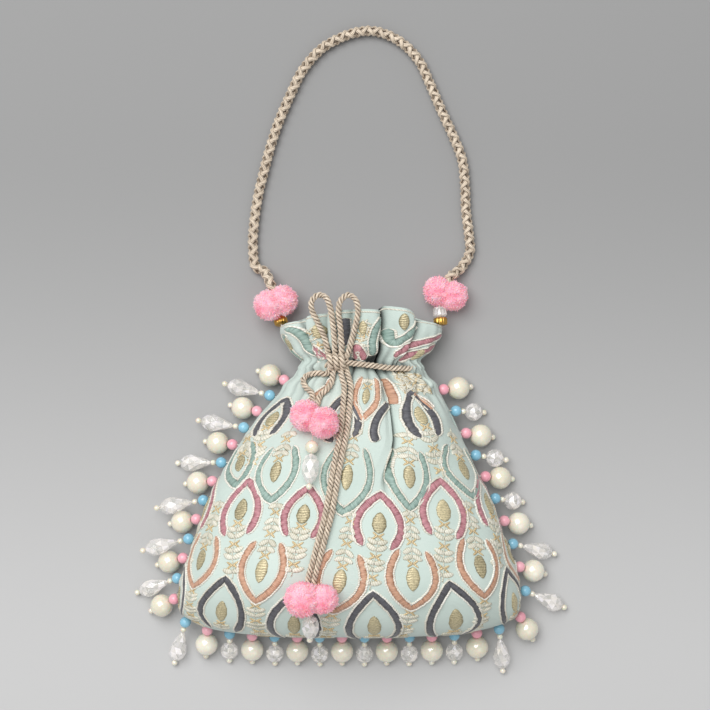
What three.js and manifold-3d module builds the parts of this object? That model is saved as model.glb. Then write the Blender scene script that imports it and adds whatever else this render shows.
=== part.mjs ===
// Drawstring potli bag lying on its back: a stuffed two-panel pouch with a gathered neck and an open frill,
// a tied drawstring with two tasselled ends, a braided handle and a fringe of bead strands along the seam.
// Millimetres. X runs across the bag, +Y towards the handle, +Z up from the surface that it lies on.
import * as THREE from "three";
import { mergeVertices } from "three/addons/utils/BufferGeometryUtils.js";
import Module from "manifold-3d";

const wasm = await Module();
wasm.setup();

// Pouch body
const BASE_HALF = 85; // half width along the widest line
const BASE_Y = -38; // where the widest line is
const BASE_DEPTH = 18; // from the widest line down to the bottom seam
const CORNER_SHARE = 0.85; // share of the half width where the bottom seam turns into the side seam
const BODY_LENGTH = 113; // widest line to the neck's lower edge
const SEAM_Z = 11; // height of the seam above the surface
const BELLY_RISE = 44; // front panel above the seam at its fattest
const BOTTOM_RADIUS = 32; // length over which the front rises from the bottom seam
const OVERHANG = 2.5; // how far the stuffed front rolls out over the bottom seam
const BACK_RADIUS = 14; // the same for the flattened back
const WALL = 1.6; // embroidered cloth with its backing
const SEAM_GAP = 0.3; // between the two panels along the seam
const CLEAR = 0.3; // between neighbouring pieces

// Gathered neck and frill
const NECK_HALF = 28;
const NECK_SPARE = 1; // the neck is this much longer than the drawstring is thick
const NECK_RISE = 16; // front above the seam at the neck
const NECK_LIFT = 4.2; // back of the neck above the surface, room for the drawstring
const NECK_SHIFT = 5.5; // the neck leans to +X
const FRILL_SIDE = 18; // neck to hem along the seam
const FRILL_BOW = 8; // the hem's middle stands this much higher than its corners
const HEM_HALF = 40;
const HEM_RISE = 22;
const NECK_FOLD = 3.6; // depth of the gathers at the neck
const HEM_FOLD = 6; // depth of the flutes at the hem
const FOLD_ANGLES = [0, 45, 64, 84, 104, 136, 180]; // gathers across the front, degrees
const MAIN_FOLD = 4; // the one that runs on down the body
const MAIN_FOLD_EXTRA = 1.8;
const FOLD_REACH = 52; // how far the gathers fade into the body

// Cords
const DORI = 3; // drawstring
const BRAID = 5.5; // handle
const CORD_SIDES = 8;

// Tassels and handle ends
const POM_HANDLE = 7.7; // radius
const POM_SHORT = 7.6;
const POM_LONG_BIG = 8.8;
const POM_LONG_SMALL = 7.2;
const RONDELLE = 7; // diameter of the handle's end beads
const GOLD_LENGTH = 4;
const CRYSTAL_LENGTH = 5;
const TASSEL_PEARL = 6.5;
const TASSEL_DROP = 8.8; // diameter
const TASSEL_DROP_LENGTH = 15;

// Fringe
const PEARL = 11.4;
const SMALL_BEAD = 5.6; // pink or blue bead next to the seam
const SEED = 3;
const ROUND_CRYSTAL = 9.2;
const DROP_CRYSTAL = 8.8;
const DROP_LENGTH = 16.5;
const HOLE_RIM = 1.6; // diameter where one bead sits on the next
const LEFT_STRANDS = 13;
const BOTTOM_STRANDS = 15;
const RIGHT_STRANDS = 11;
const FRINGE_TOP_LEFT = 8; // neck to the first strand, along Y
const FRINGE_TOP_RIGHT = 12;
const FRINGE_LOW_RIGHT = 8; // widest line to the lowest strand of the right side, along the seam
const DROOP = 36; // strands at the sides swing this many degrees to the bottom
const STRAND_SIDES = 7;

const RAD = Math.PI / 180;
const NECK_LOW = BASE_Y + BODY_LENGTH;
const NECK_HIGH = NECK_LOW + DORI + NECK_SPARE;
const NECK_Y = (NECK_LOW + NECK_HIGH) / 2;
const BOTTOM_Y = BASE_Y - BASE_DEPTH;
const BELLY_Y = BOTTOM_Y + BOTTOM_RADIUS;
const HEM_Y = NECK_HIGH + FRILL_SIDE;
const SIDE_POWER = 1.3;
const BASE_POWER = 3.5;
const FRONT_POWER = 2.4;
const BACK_POWER = 5;
const CORNER_X = BASE_HALF * CORNER_SHARE;
const vec = (x, y, z) => new THREE.Vector3(x, y, z);
const smooth = (a, b, v) => THREE.MathUtils.smoothstep(v, a, b);
const oval = (k, power) => Math.max(0, 1 - Math.min(1, Math.abs(k)) ** power) ** (1 / power);

const bag = new THREE.Group();
function add(name, geometry, color, roughness, metalness = 0) {
  const mesh = new THREE.Mesh(geometry, new THREE.MeshStandardMaterial({ color, roughness, metalness }));
  mesh.name = name;
  bag.add(mesh);
  return mesh;
}

// Plan of the bag: the side seam is an oval from the widest line to the neck, then flares to the hem.
const centreX = (y) => NECK_SHIFT * smooth(BASE_Y + 0.55 * BODY_LENGTH, NECK_LOW, y);
const bottomY = (x) => BASE_Y - BASE_DEPTH * oval(x / BASE_HALF, BASE_POWER);
const CORNER_Y = bottomY(CORNER_X);
function halfWidth(y) {
  if (y >= NECK_LOW) return NECK_HALF + (HEM_HALF - NECK_HALF) * smooth(NECK_HIGH, HEM_Y, y);
  if (y >= BASE_Y) return NECK_HALF + (BASE_HALF - NECK_HALF) * oval((y - BASE_Y) / BODY_LENGTH, SIDE_POWER);
  return BASE_HALF * oval((BASE_Y - y) / BASE_DEPTH, BASE_POWER);
}

// Rows of a panel from the bottom seam to the hem: edge height, bow of the middle, and how steep the row is.
function panelRows(radius, tilts, steps, top) {
  const rows = tilts.map((deg) => {
    const turn = 1 - Math.cos(deg * RAD);
    const edge = CORNER_Y + (BOTTOM_Y + radius - CORNER_Y) * turn;
    return { edge, bow: BOTTOM_Y + radius * turn - edge, tilt: deg * RAD };
  });
  const first = BOTTOM_Y + radius;
  for (const k of steps) rows.push({ edge: first + (NECK_LOW - first) * k, bow: 0, tilt: Math.PI / 2 });
  for (const k of top) {
    rows.push({ edge: NECK_HIGH + FRILL_SIDE * k, bow: FRILL_BOW * k * k, tilt: Math.PI / 2, frill: k });
  }
  return rows;
}

// How far a fold between two gathers is pulled in, 0 on a crest and 1 in a crease.
function creaseAt(deg) {
  const last = FOLD_ANGLES.length - 1;
  for (let i = 0; i < last; i++) {
    const [a, b] = [FOLD_ANGLES[i], FOLD_ANGLES[i + 1]];
    if (deg > b) continue;
    const k = (2 * deg - a - b) / (b - a);
    if ((i === 0 && k < 0) || (i === last - 1 && k > 0)) return 0;
    return Math.abs(k) ** 2.2;
  }
  return 0;
}
const isMainFold = (deg) => Math.max(0, 1 - Math.abs(deg - FOLD_ANGLES[MAIN_FOLD]) / 7);

function frontRise(row) {
  if (row.frill !== undefined) return NECK_RISE + (HEM_RISE - NECK_RISE) * smooth(0, 1, row.frill);
  if (row.tilt < Math.PI / 2) return BELLY_RISE * Math.sin(row.tilt);
  const k = Math.max(0, (row.edge - BELLY_Y) / (NECK_LOW - BELLY_Y));
  return NECK_RISE + (BELLY_RISE - NECK_RISE) * (1 - k ** 2.2);
}
function foldDepth(row, deg) {
  if (row.frill !== undefined) return (NECK_FOLD + (HEM_FOLD - NECK_FOLD) * row.frill) * creaseAt(deg);
  const near = smooth(NECK_LOW - FOLD_REACH, NECK_LOW, row.edge);
  const main = smooth(NECK_LOW - 1.5 * FOLD_REACH, NECK_LOW - 0.6 * FOLD_REACH, row.edge);
  return NECK_FOLD * near ** 1.6 * creaseAt(deg) + MAIN_FOLD_EXTRA * main * isMainFold(deg);
}
function rowY(row, x, half, shift) {
  const share = half > 0 ? x / half : 0;
  if (row.frill !== undefined) return row.edge + row.bow * (1 - share * share);
  const sag = (bottomY(share * CORNER_X) - CORNER_Y) / (BOTTOM_Y - CORNER_Y);
  return row.edge + (row.bow - shift) * sag;
}
function frontPoint(row, deg, inset) {
  const half = halfWidth(row.edge) - inset;
  const rise = Math.max(0, frontRise(row) - inset * Math.sin(row.tilt));
  const c = Math.cos(deg * RAD);
  const x = -Math.sign(c) * Math.abs(c) ** (2 / FRONT_POWER) * half;
  const z = Math.abs(Math.sin(deg * RAD)) ** (2 / FRONT_POWER) * rise;
  const reach = Math.hypot(x, z);
  const pull = reach > 0 ? 1 - foldDepth(row, deg) / reach : 1;
  const out = row.tilt < Math.PI / 3 ? OVERHANG * Math.sin(3 * row.tilt) : 0;
  const y = rowY(row, x, half, out) + inset * Math.cos(row.tilt);
  return vec(centreX(row.edge) + x * pull, y, SEAM_Z + SEAM_GAP / 2 + z * pull);
}
function backDrop(row) {
  const full = SEAM_Z - SEAM_GAP / 2;
  if (row.frill !== undefined) return full - NECK_LIFT * (1 - smooth(0, 1, row.frill));
  if (row.tilt < Math.PI / 2) return full * Math.min(1, 1.12 * Math.sin(row.tilt));
  return full - NECK_LIFT * smooth(NECK_LOW - 16, NECK_LOW, row.edge);
}
function backPoint(row, deg, inset) {
  const half = halfWidth(row.edge) - inset;
  const drop = Math.max(0, backDrop(row) - inset * Math.sin(row.tilt));
  const c = Math.cos(deg * RAD);
  const x = -Math.sign(c) * Math.abs(c) ** (2 / BACK_POWER) * half;
  const flat = Math.min(1, 1.06 * Math.abs(Math.sin(deg * RAD)) ** (2 / BACK_POWER));
  const y = rowY(row, x, half, 0) + inset * Math.cos(row.tilt);
  return vec(centreX(row.edge) + x, y, SEAM_Z - SEAM_GAP / 2 - drop * flat);
}

// A cloth panel as a closed sheet: an outer grid, an inner grid and the rim that joins them.
function panel(rows, angles, point, flip) {
  const cols = angles.length;
  const place = [];
  for (const inset of [0, WALL]) for (const r of rows) for (const a of angles) place.push(...point(r, a, inset).toArray());
  const index = [];
  const inner = rows.length * cols;
  const tri = (a, b, c) => (flip ? index.push(a, c, b) : index.push(a, b, c));
  const quad = (a, b, c, d) => { tri(a, b, c); tri(a, c, d); };
  for (let r = 0; r + 1 < rows.length; r++) {
    for (let c = 0; c + 1 < cols; c++) {
      const p = r * cols + c;
      quad(p, p + 1, p + cols + 1, p + cols);
      quad(inner + p, inner + p + cols, inner + p + cols + 1, inner + p + 1);
    }
    const [a, b] = [r * cols, r * cols + cols - 1];
    quad(a, a + cols, inner + a + cols, inner + a);
    quad(b, inner + b, inner + b + cols, b + cols);
  }
  const topRow = (rows.length - 1) * cols;
  for (let c = 0; c + 1 < cols; c++) {
    quad(c, inner + c, inner + c + 1, c + 1);
    quad(topRow + c, topRow + c + 1, inner + topRow + c + 1, inner + topRow + c);
  }
  const geometry = new THREE.BufferGeometry();
  geometry.setAttribute("position", new THREE.Float32BufferAttribute(place, 3));
  geometry.setIndex(index);
  return geometry;
}

const frontRows = panelRows(BOTTOM_RADIUS, [0, 16, 34, 54, 74, 90], [0.17, 0.36, 0.54, 0.7, 0.82, 0.91, 0.965, 1],
  [0, 0.25, 0.5, 0.75, 1]);
const frontAngles = [];
for (let i = 0; i + 1 < FOLD_ANGLES.length; i++) {
  const [a, b] = [FOLD_ANGLES[i], FOLD_ANGLES[i + 1]];
  const cuts = b - a > 30 ? 5 : 4;
  for (let k = 0; k < cuts; k++) frontAngles.push(a + ((b - a) * k) / cuts);
}
frontAngles.push(180);
const frontGeometry = panel(frontRows, frontAngles, frontPoint, false);
add("pouch_front_panel", frontGeometry, 0xd3ddd0, 0.75);

const backRows = panelRows(BACK_RADIUS, [0, 30, 60, 90], [0.2, 0.42, 0.62, 0.78, 0.9, 1], [0, 0.35, 0.7, 1]);
const backAngles = [0, 8, 22, 42, 64, 84, 96, 116, 138, 158, 172, 180];
add("pouch_back_panel", panel(backRows, backAngles, backPoint, true), 0xd0dacd, 0.75);

// Height of the front cloth under a spot in plan, and under a round piece that lies on it there.
const shell = frontGeometry.attributes.position;
const outerTriangles = [];
for (let r = 0; r + 1 < frontRows.length; r++) {
  for (let c = 0; c + 1 < frontAngles.length; c++) {
    const p = r * frontAngles.length + c;
    const q = p + frontAngles.length;
    for (const ids of [[p, p + 1, q + 1], [p, q + 1, q]]) {
      outerTriangles.push(ids.map((i) => new THREE.Vector3().fromBufferAttribute(shell, i)));
    }
  }
}
function clothZ(x, y) {
  let best = 0;
  for (const [a, b, c] of outerTriangles) {
    const area = (b.x - a.x) * (c.y - a.y) - (c.x - a.x) * (b.y - a.y);
    if (Math.abs(area) < 1e-9) continue;
    const u = ((x - a.x) * (c.y - a.y) - (c.x - a.x) * (y - a.y)) / area;
    const v = ((b.x - a.x) * (y - a.y) - (x - a.x) * (b.y - a.y)) / area;
    if (u >= 0 && v >= 0 && u + v <= 1) best = Math.max(best, a.z + u * (b.z - a.z) + v * (c.z - a.z));
  }
  return best;
}
// Lowest centre height at which a ball of this radius clears the cloth.
function restZ(x, y, radius) {
  let z = clothZ(x, y) + radius;
  for (let ring = 1; ring <= 3; ring++) {
    const far = (radius * ring) / 3;
    const lift = Math.sqrt(Math.max(0, radius * radius - far * far));
    for (let k = 0; k < 12; k++) {
      const a = (k * Math.PI) / 6;
      z = Math.max(z, clothZ(x + far * Math.cos(a), y + far * Math.sin(a)) + lift);
    }
  }
  return z + CLEAR;
}

// A round cord along hand-laid points.
function cord(name, points, diameter, steps, color, roughness) {
  const ring = [];
  for (let k = 0; k < CORD_SIDES; k++) {
    const a = (2 * Math.PI * k) / CORD_SIDES;
    ring.push(new THREE.Vector2((diameter / 2) * Math.cos(a), (diameter / 2) * Math.sin(a)));
  }
  const extrudePath = new THREE.CatmullRomCurve3(points, false, "centripetal");
  return add(name, new THREE.ExtrudeGeometry(new THREE.Shape(ring), { steps, extrudePath, bevelEnabled: false }),
    color, roughness);
}
const DORI_COLOR = 0xd9bba8;
const doriR = DORI / 2;

// Drawstring round the neck, from one side of the knot under the neck to the other.
const KNOT = { x: NECK_SHIFT - 11.5, y: NECK_Y + 2.2, half: 5.6, radius: 4 };
const around = doriR + CLEAR + 0.5;
const ringFront = (x) => {
  const half = NECK_HALF + around;
  return vec(x, NECK_Y, SEAM_Z + (NECK_RISE + around) * oval((x - NECK_SHIFT) / half, FRONT_POWER));
};
const ringSide = (side, dz) => vec(NECK_SHIFT + side * (NECK_HALF + around), NECK_Y, SEAM_Z + dz);
const underZ = NECK_LIFT - doriR - CLEAR;
const knotEnd = KNOT.half + CLEAR + 0.4;
cord("neck_drawstring", [
  ringFront(KNOT.x + knotEnd), ringFront(NECK_SHIFT + 0.15 * NECK_HALF), ringFront(NECK_SHIFT + 0.5 * NECK_HALF),
  ringFront(NECK_SHIFT + 0.78 * NECK_HALF), ringFront(NECK_SHIFT + 0.96 * NECK_HALF),
  ringSide(1, 1), ringSide(1, -4), vec(NECK_SHIFT + 0.93 * NECK_HALF, NECK_Y, underZ),
  vec(NECK_SHIFT + 0.7 * NECK_HALF, NECK_Y, underZ), vec(NECK_SHIFT, NECK_Y, underZ),
  vec(NECK_SHIFT - 0.7 * NECK_HALF, NECK_Y, underZ), vec(NECK_SHIFT - 0.93 * NECK_HALF, NECK_Y, underZ),
  ringSide(-1, -4), ringSide(-1, 1), ringFront(NECK_SHIFT - 0.96 * NECK_HALF),
  ringFront(NECK_SHIFT - 0.8 * NECK_HALF), ringFront(KNOT.x - knotEnd),
], DORI, 25, DORI_COLOR, 0.7);

// A turned piece along +Y of its own frame, from a list of profile points.
function turned(name, profile, sides, from, towards, color, roughness, metalness) {
  const points = profile.map(([r, h]) => new THREE.Vector2(r, h));
  const mesh = add(name, new THREE.LatheGeometry(points, sides), color, roughness, metalness);
  mesh.position.copy(from);
  mesh.quaternion.setFromUnitVectors(vec(0, 1, 0), towards.clone().normalize());
  return mesh;
}

// Bow knot: three wraps of the drawstring lying across the neck.
const wrap = KNOT.half / 3;
const knotZ = restZ(KNOT.x, KNOT.y, KNOT.radius);
const knotProfile = [[0, -KNOT.half]];
for (let k = -1; k <= 1; k++) {
  for (const h of [-0.6, 0, 0.6]) knotProfile.push([KNOT.radius * (k ? 0.9 : 1) * (h ? 0.9 : 1), (2 * k + h) * wrap]);
}
knotProfile.push([0, KNOT.half]);
turned("bow_knot", knotProfile, 8, vec(KNOT.x, KNOT.y, knotZ), vec(1, 0, 0), 0xd9b59c, 0.7);

// Bow loops lie on the frill; points are set out from the knot's upper side.
const knotTop = KNOT.y + KNOT.radius + CLEAR + doriR;
const onFrill = ([x, y]) => {
  const [px, py] = [KNOT.x + x, knotTop + y];
  return vec(px, py, restZ(px, Math.min(py, HEM_Y + 4), doriR + 0.3));
};
const LEFT_LOOP = [[-4.9, 0], [-6.2, 7], [-9.2, 17], [-11.9, 23], [-10.6, 26], [-7.3, 25.3], [-4.2, 19], [-1.8, 10],
  [-1.3, 0]];
const RIGHT_LOOP = [[2, 0], [1.6, 10], [0.9, 20.6], [2.2, 25], [5, 26.6], [8, 24.8], [9.4, 19.5], [8.2, 11], [5.6, 0]];
cord("bow_loop_left", LEFT_LOOP.map(onFrill), DORI, 15, DORI_COLOR, 0.7);
cord("bow_loop_right", RIGHT_LOOP.map(onFrill), DORI, 15, DORI_COLOR, 0.7);

// Tail ends of the drawstring lie on the front cloth; points are set out from the knot's lower side.
const knotFoot = KNOT.y - KNOT.radius - CLEAR - doriR;
const onCloth = ([x, y]) => {
  const [px, py] = [KNOT.x + x, knotFoot + y];
  return vec(px, py, restZ(px, py, doriR + 0.5));
};
const SHORT_LEFT = [[-5.6, 0], [-9, 0.2], [-12.5, -0.2], [-15.4, -1.2], [-17, -3.2], [-16.4, -5.6], [-14.8, -7.6], [-12.8, -9.4]];
const SHORT_RIGHT = [[-2.4, 0], [-2.8, -3.6], [-5, -7.4], [-8.4, -10.4]];
const LONG_LEFT = [[1.4, 0], [2.9, -6], [2.6, -13], [1.4, -27], [-2, -44], [-6, -67], [-9.2, -79], [-12.4, -91],
  [-14, -97.5]];
const LONG_RIGHT = [[5, 0], [6.6, -6], [6.3, -13], [4.9, -27], [1.4, -44], [-2.6, -67], [-5.8, -79], [-9, -91],
  [-10.6, -97.5]];
cord("tail_short_left", SHORT_LEFT.map(onCloth), DORI, 12, DORI_COLOR, 0.7);
cord("tail_short_right", SHORT_RIGHT.map(onCloth), DORI, 6, DORI_COLOR, 0.7);
cord("tail_long_left", LONG_LEFT.map(onCloth), DORI, 15, DORI_COLOR, 0.7);
cord("tail_long_right", LONG_RIGHT.map(onCloth), DORI, 15, DORI_COLOR, 0.7);

// Pom-pom pairs: two balls grown into each other.
function solid(geometry) {
  geometry.deleteAttribute("normal");
  geometry.deleteAttribute("uv");
  const g = mergeVertices(geometry, 1e-4);
  return new wasm.Manifold(new wasm.Mesh({
    numProp: 3, vertProperties: new Float32Array(g.attributes.position.array), triVerts: new Uint32Array(g.index.array),
  }));
}
function pomPair(name, balls) {
  const parts = balls.map(([x, y, z, r]) => solid(new THREE.SphereGeometry(r, 8, 6).translate(x, y, z)));
  const mesh = parts[0].add(parts[1]).getMesh();
  const geometry = new THREE.BufferGeometry();
  geometry.setAttribute("position", new THREE.Float32BufferAttribute(mesh.vertProperties, 3));
  geometry.setIndex(new THREE.Uint32BufferAttribute(mesh.triVerts, 1));
  return add(name, geometry, 0xf6a9bd, 0.95);
}
const POM_COLOR_DROP = 0xdfe4ea;
const seedR = SEED / 2;
const rimR = HOLE_RIM / 2;
const ball = (d, at) => [[0.86 * (d / 2), at + 0.24 * d], [d / 2, at + d / 2], [0.86 * (d / 2), at + 0.76 * d]];

// Tassel on each tail: the pom-pom pair, then beads that hang on towards the bottom and lie down the slope.
function tassel(kind, a, b, beads) {
  const balls = [a, b].map(([x, y, r]) => [x, y, restZ(x, y, r), r]);
  pomPair(`tassel_${kind}_pompoms`, balls);
  const profile = [[0, 0]];
  let at = 0;
  for (const [d, length] of beads) {
    if (at > 0) profile.push([rimR, at]);
    if (length === d) profile.push(...(d > SEED ? ball(d, at) : [[d / 2, at + d / 2]]));
    else profile.push([0.62 * (d / 2), at + 0.1 * length], [d / 2, at + 0.42 * length], [0.66 * (d / 2), at + 0.86 * length]);
    at += length;
  }
  profile.push([0, at]);
  const top = [b[0] - 0.62 * (b[0] - a[0]), Math.min(a[1] - a[2], b[1] - b[2]) + 0.6];
  const fat = Math.max(...beads.map(([d]) => d)) / 2;
  const start = vec(top[0], top[1] - CLEAR - 1.2, 0);
  start.z = restZ(start.x, start.y, fat) + CLEAR;
  const probe = 0.4 * at;
  const slope = (restZ(start.x, start.y - probe, fat) + CLEAR - start.z) / probe;
  turned(`tassel_${kind}_drop`, profile, 8, start, vec(-0.06, -1, slope), POM_COLOR_DROP, 0.1);
}
const shortEnd = SHORT_LEFT[SHORT_LEFT.length - 1];
const longEnd = LONG_LEFT[LONG_LEFT.length - 1];
const spot = ([x, y], dx, dy, r) => [KNOT.x + x + dx, knotFoot + y + dy, r];
tassel("short", spot(shortEnd, -2.5, -10.5, POM_SHORT), spot(shortEnd, 6.2, -14, POM_SHORT),
  [[TASSEL_PEARL, TASSEL_PEARL], [TASSEL_DROP, TASSEL_DROP_LENGTH], [SEED, SEED]]);
tassel("long", spot(longEnd, -2.2, -8.6, POM_LONG_BIG), spot(longEnd, 7.4, -8.6, POM_LONG_SMALL),
  [[TASSEL_DROP, TASSEL_DROP_LENGTH], [SEED, SEED]]);

// Handle: a braid lying on the surface between two pom-pom pairs, each tied to a corner of the hem through end beads.
const hemCorner = (side) => vec(NECK_SHIFT + side * HEM_HALF, HEM_Y, SEAM_Z);
function rondelle(name, from, towards, length, color, roughness, metalness) {
  const r = RONDELLE / 2;
  const profile = [[0, 0], [0.7 * r, 0.1 * length], [r, 0.35 * length], [r, 0.65 * length], [0.7 * r, 0.9 * length],
    [0, length]];
  return turned(name, profile, 10, from, towards, color, roughness, metalness);
}
const rightWay = vec(-0.06, 1, -0.12).normalize();
const rightRoot = hemCorner(1).addScaledVector(vec(-0.5, 1, 0), CLEAR);
rondelle("handle_gold_bead_right", rightRoot, rightWay, GOLD_LENGTH, 0xb58a45, 0.3, 0.9);
const rightCrystal = rightRoot.clone().addScaledVector(rightWay, GOLD_LENGTH + CLEAR);
rondelle("handle_crystal_right", rightCrystal, rightWay, CRYSTAL_LENGTH, 0xe6e9ee, 0.08);
const rightPom = rightCrystal.clone().addScaledVector(rightWay, CRYSTAL_LENGTH + CLEAR + POM_HANDLE);
pomPair("handle_pompoms_right", [
  [rightPom.x, rightPom.y, POM_HANDLE + CLEAR, POM_HANDLE],
  [rightPom.x + 7.2, rightPom.y - 2.2, POM_HANDLE + CLEAR, POM_HANDLE],
]);
const leftWay = vec(-0.2, 1, -0.4).normalize();
const leftRoot = hemCorner(-1).add(vec(0.2, 2 * CLEAR, -1));
rondelle("handle_gold_bead_left", leftRoot, leftWay, GOLD_LENGTH, 0xb58a45, 0.3, 0.9);
const leftPom = hemCorner(-1).add(vec(0.8, POM_HANDLE + 5, 0));
pomPair("handle_pompoms_left", [
  [leftPom.x, leftPom.y, POM_HANDLE + 4.2, POM_HANDLE],
  [leftPom.x - 6.6, leftPom.y - 2.4, POM_HANDLE + 6, POM_HANDLE],
]);
const braidZ = BRAID / 2 + CLEAR;
const HANDLE = [[-47.5, 127], [-49, 137], [-48.5, 148], [-46.5, 162], [-43.5, 175], [-40, 188], [-36, 200], [-30, 214],
  [-24, 226], [-15, 236.5], [-7, 241.5], [2, 245], [11, 246], [20, 243.5], [28, 238.5], [35, 230.5], [40, 220],
  [46, 206], [52, 193], [56.5, 181], [58, 168], [58.5, 155], [60, 143], [60.3, 134]];
const handleY = HEM_Y - 97;
cord("handle_braid", [
  vec(leftPom.x - 6, leftPom.y + POM_HANDLE + 1.6, POM_HANDLE + 3), vec(leftPom.x - 9.6, leftPom.y + 15, braidZ + 1.5),
  ...HANDLE.map(([x, y]) => vec(x, y + handleY, braidZ)),
  vec(rightPom.x + 10.6, rightPom.y + POM_HANDLE + 3, braidZ + 1.5),
  vec(rightPom.x + 6.6, rightPom.y + POM_HANDLE + 0.2, POM_HANDLE),
], BRAID, 36, 0xd6c3b4, 0.75);

// Fringe: strands of beads sewn along the side and bottom seams. Each rests on the surface, or a crystal on a pearl.
const seam = [];
const sideRun = (from, to) => {
  for (let k = 0; k <= 60; k++) {
    const y = from + ((to - from) * k) / 60;
    seam.push(new THREE.Vector2(centreX(y) + (from > to ? -1 : 1) * halfWidth(y), y));
  }
};
sideRun(NECK_Y - FRINGE_TOP_LEFT, BASE_Y);
const leftEnd = seam.length - 1;
for (let k = 1; k < 120; k++) {
  const a = (k / 120) * Math.PI;
  const x = -Math.sign(Math.cos(a)) * Math.abs(Math.cos(a)) ** (2 / BASE_POWER) * BASE_HALF;
  seam.push(new THREE.Vector2(x, bottomY(x)));
}
const rightStart = seam.length;
sideRun(BASE_Y, NECK_Y - FRINGE_TOP_RIGHT);
const reach = [0];
for (let k = 1; k < seam.length; k++) reach.push(reach[k - 1] + seam[k].distanceTo(seam[k - 1]));
function seamAt(length) {
  const k = Math.max(1, Math.min(seam.length - 1, reach.findIndex((r) => r >= length)));
  const step = seam[k].clone().sub(seam[k - 1]);
  const at = seam[k - 1].clone().addScaledVector(step, (length - reach[k - 1]) / (reach[k] - reach[k - 1]));
  step.normalize();
  return { at, out: new THREE.Vector2(step.y, -step.x) };
}
const leastPitch = (PEARL + Math.max(ROUND_CRYSTAL, DROP_CRYSTAL)) / 2 - 0.6;
const fit = (count, length) => Math.max(2, Math.min(count, 1 + Math.floor(length / leastPitch)));
const spots = [];
const [leftLen, turnLen] = [reach[leftEnd], reach[rightStart] - FRINGE_LOW_RIGHT];
const [bottomLen, rightLen] = [turnLen - leftLen, reach[seam.length - 1] - turnLen];
const [nLeft, nBottom, nRight] = [
  fit(LEFT_STRANDS, leftLen), fit(BOTTOM_STRANDS, bottomLen - 2 * leastPitch), fit(RIGHT_STRANDS, rightLen)];
for (let k = 0; k < nLeft; k++) spots.push((leftLen * k) / (nLeft - 1));
for (let k = 1; k <= nBottom; k++) spots.push(leftLen + (bottomLen * k) / (nBottom + 1));
for (let k = 0; k < nRight; k++) spots.push(turnLen + (rightLen * k) / (nRight - 1));

function strandProfile(kind) {
  const profile = [[0, 0], ...ball(SMALL_BEAD, 0), [rimR, SMALL_BEAD]];
  let at = SMALL_BEAD;
  let touch;
  if (kind === "pearl") {
    profile.push(...ball(PEARL, at));
    touch = [PEARL / 2, at + PEARL / 2];
    at += PEARL;
  } else {
    profile.push([seedR, at + seedR], [rimR, at + SEED]);
    at += SEED;
    if (kind === "round") {
      profile.push(...ball(ROUND_CRYSTAL, at));
      touch = [ROUND_CRYSTAL / 2, at + ROUND_CRYSTAL / 2];
      at += ROUND_CRYSTAL;
    } else {
      const r = DROP_CRYSTAL / 2;
      profile.push([0.55 * r, at + 0.25 * DROP_LENGTH], [r, at + 0.64 * DROP_LENGTH], [0.7 * r, at + 0.9 * DROP_LENGTH]);
      touch = [r, at + 0.64 * DROP_LENGTH];
      at += DROP_LENGTH;
    }
  }
  profile.push([rimR, at], [seedR, at + seedR], [0, at + SEED]);
  return { profile, touch };
}
const strands = { pearl: strandProfile("pearl"), round: strandProfile("round"), drop: strandProfile("drop") };
const strandColor = { pearl: 0xe9e2d6, round: 0xdfe4ea, drop: 0xdfe4ea };
const laid = spots.map((length, i) => {
  const { at, out } = seamAt(length);
  const low = at.y < BASE_Y - 0.5 * BASE_DEPTH;
  const high = at.x > 0 && at.y > BASE_Y + 0.4 * BODY_LENGTH;
  const kind = i % 2 === 0 ? "pearl" : low && Math.abs(at.x) < 0.9 * CORNER_X || high ? "round" : "drop";
  const swing = -Math.sign(out.x) * DROOP * Math.abs(out.x) * RAD;
  out.rotateAround(new THREE.Vector2(), swing);
  at.addScaledVector(out, CLEAR + (SMALL_BEAD / 2) * (1 / Math.cos(swing) - 1));
  return { at, out, kind, bulk: at.clone().addScaledVector(out, strands[kind].touch[1]) };
});
laid.forEach(({ at, out, kind, bulk }, i) => {
  const { profile, touch } = strands[kind];
  const span = PEARL / 2 + touch[0] + CLEAR;
  const beside = kind === "pearl" ? [] : [laid[i - 1], laid[i + 1]].filter((next) => next);
  const shoulders = beside.map((next) => span ** 2 - bulk.distanceToSquared(next.bulk)).filter((rest) => rest > 0);
  const height = Math.max(touch[0] + CLEAR, ...shoulders.map((rest) => PEARL / 2 + Math.sqrt(rest)));
  const fall = Math.asin((SEAM_Z - height) / touch[1]);
  const towards = vec(out.x * Math.cos(fall), out.y * Math.cos(fall), -Math.sin(fall));
  turned(`fringe_${String(i + 1).padStart(2, "0")}_${kind}`, profile, STRAND_SIDES, vec(at.x, at.y, SEAM_Z), towards,
    strandColor[kind], kind === "pearl" ? 0.25 : 0.08);
});

export default bag;
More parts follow.
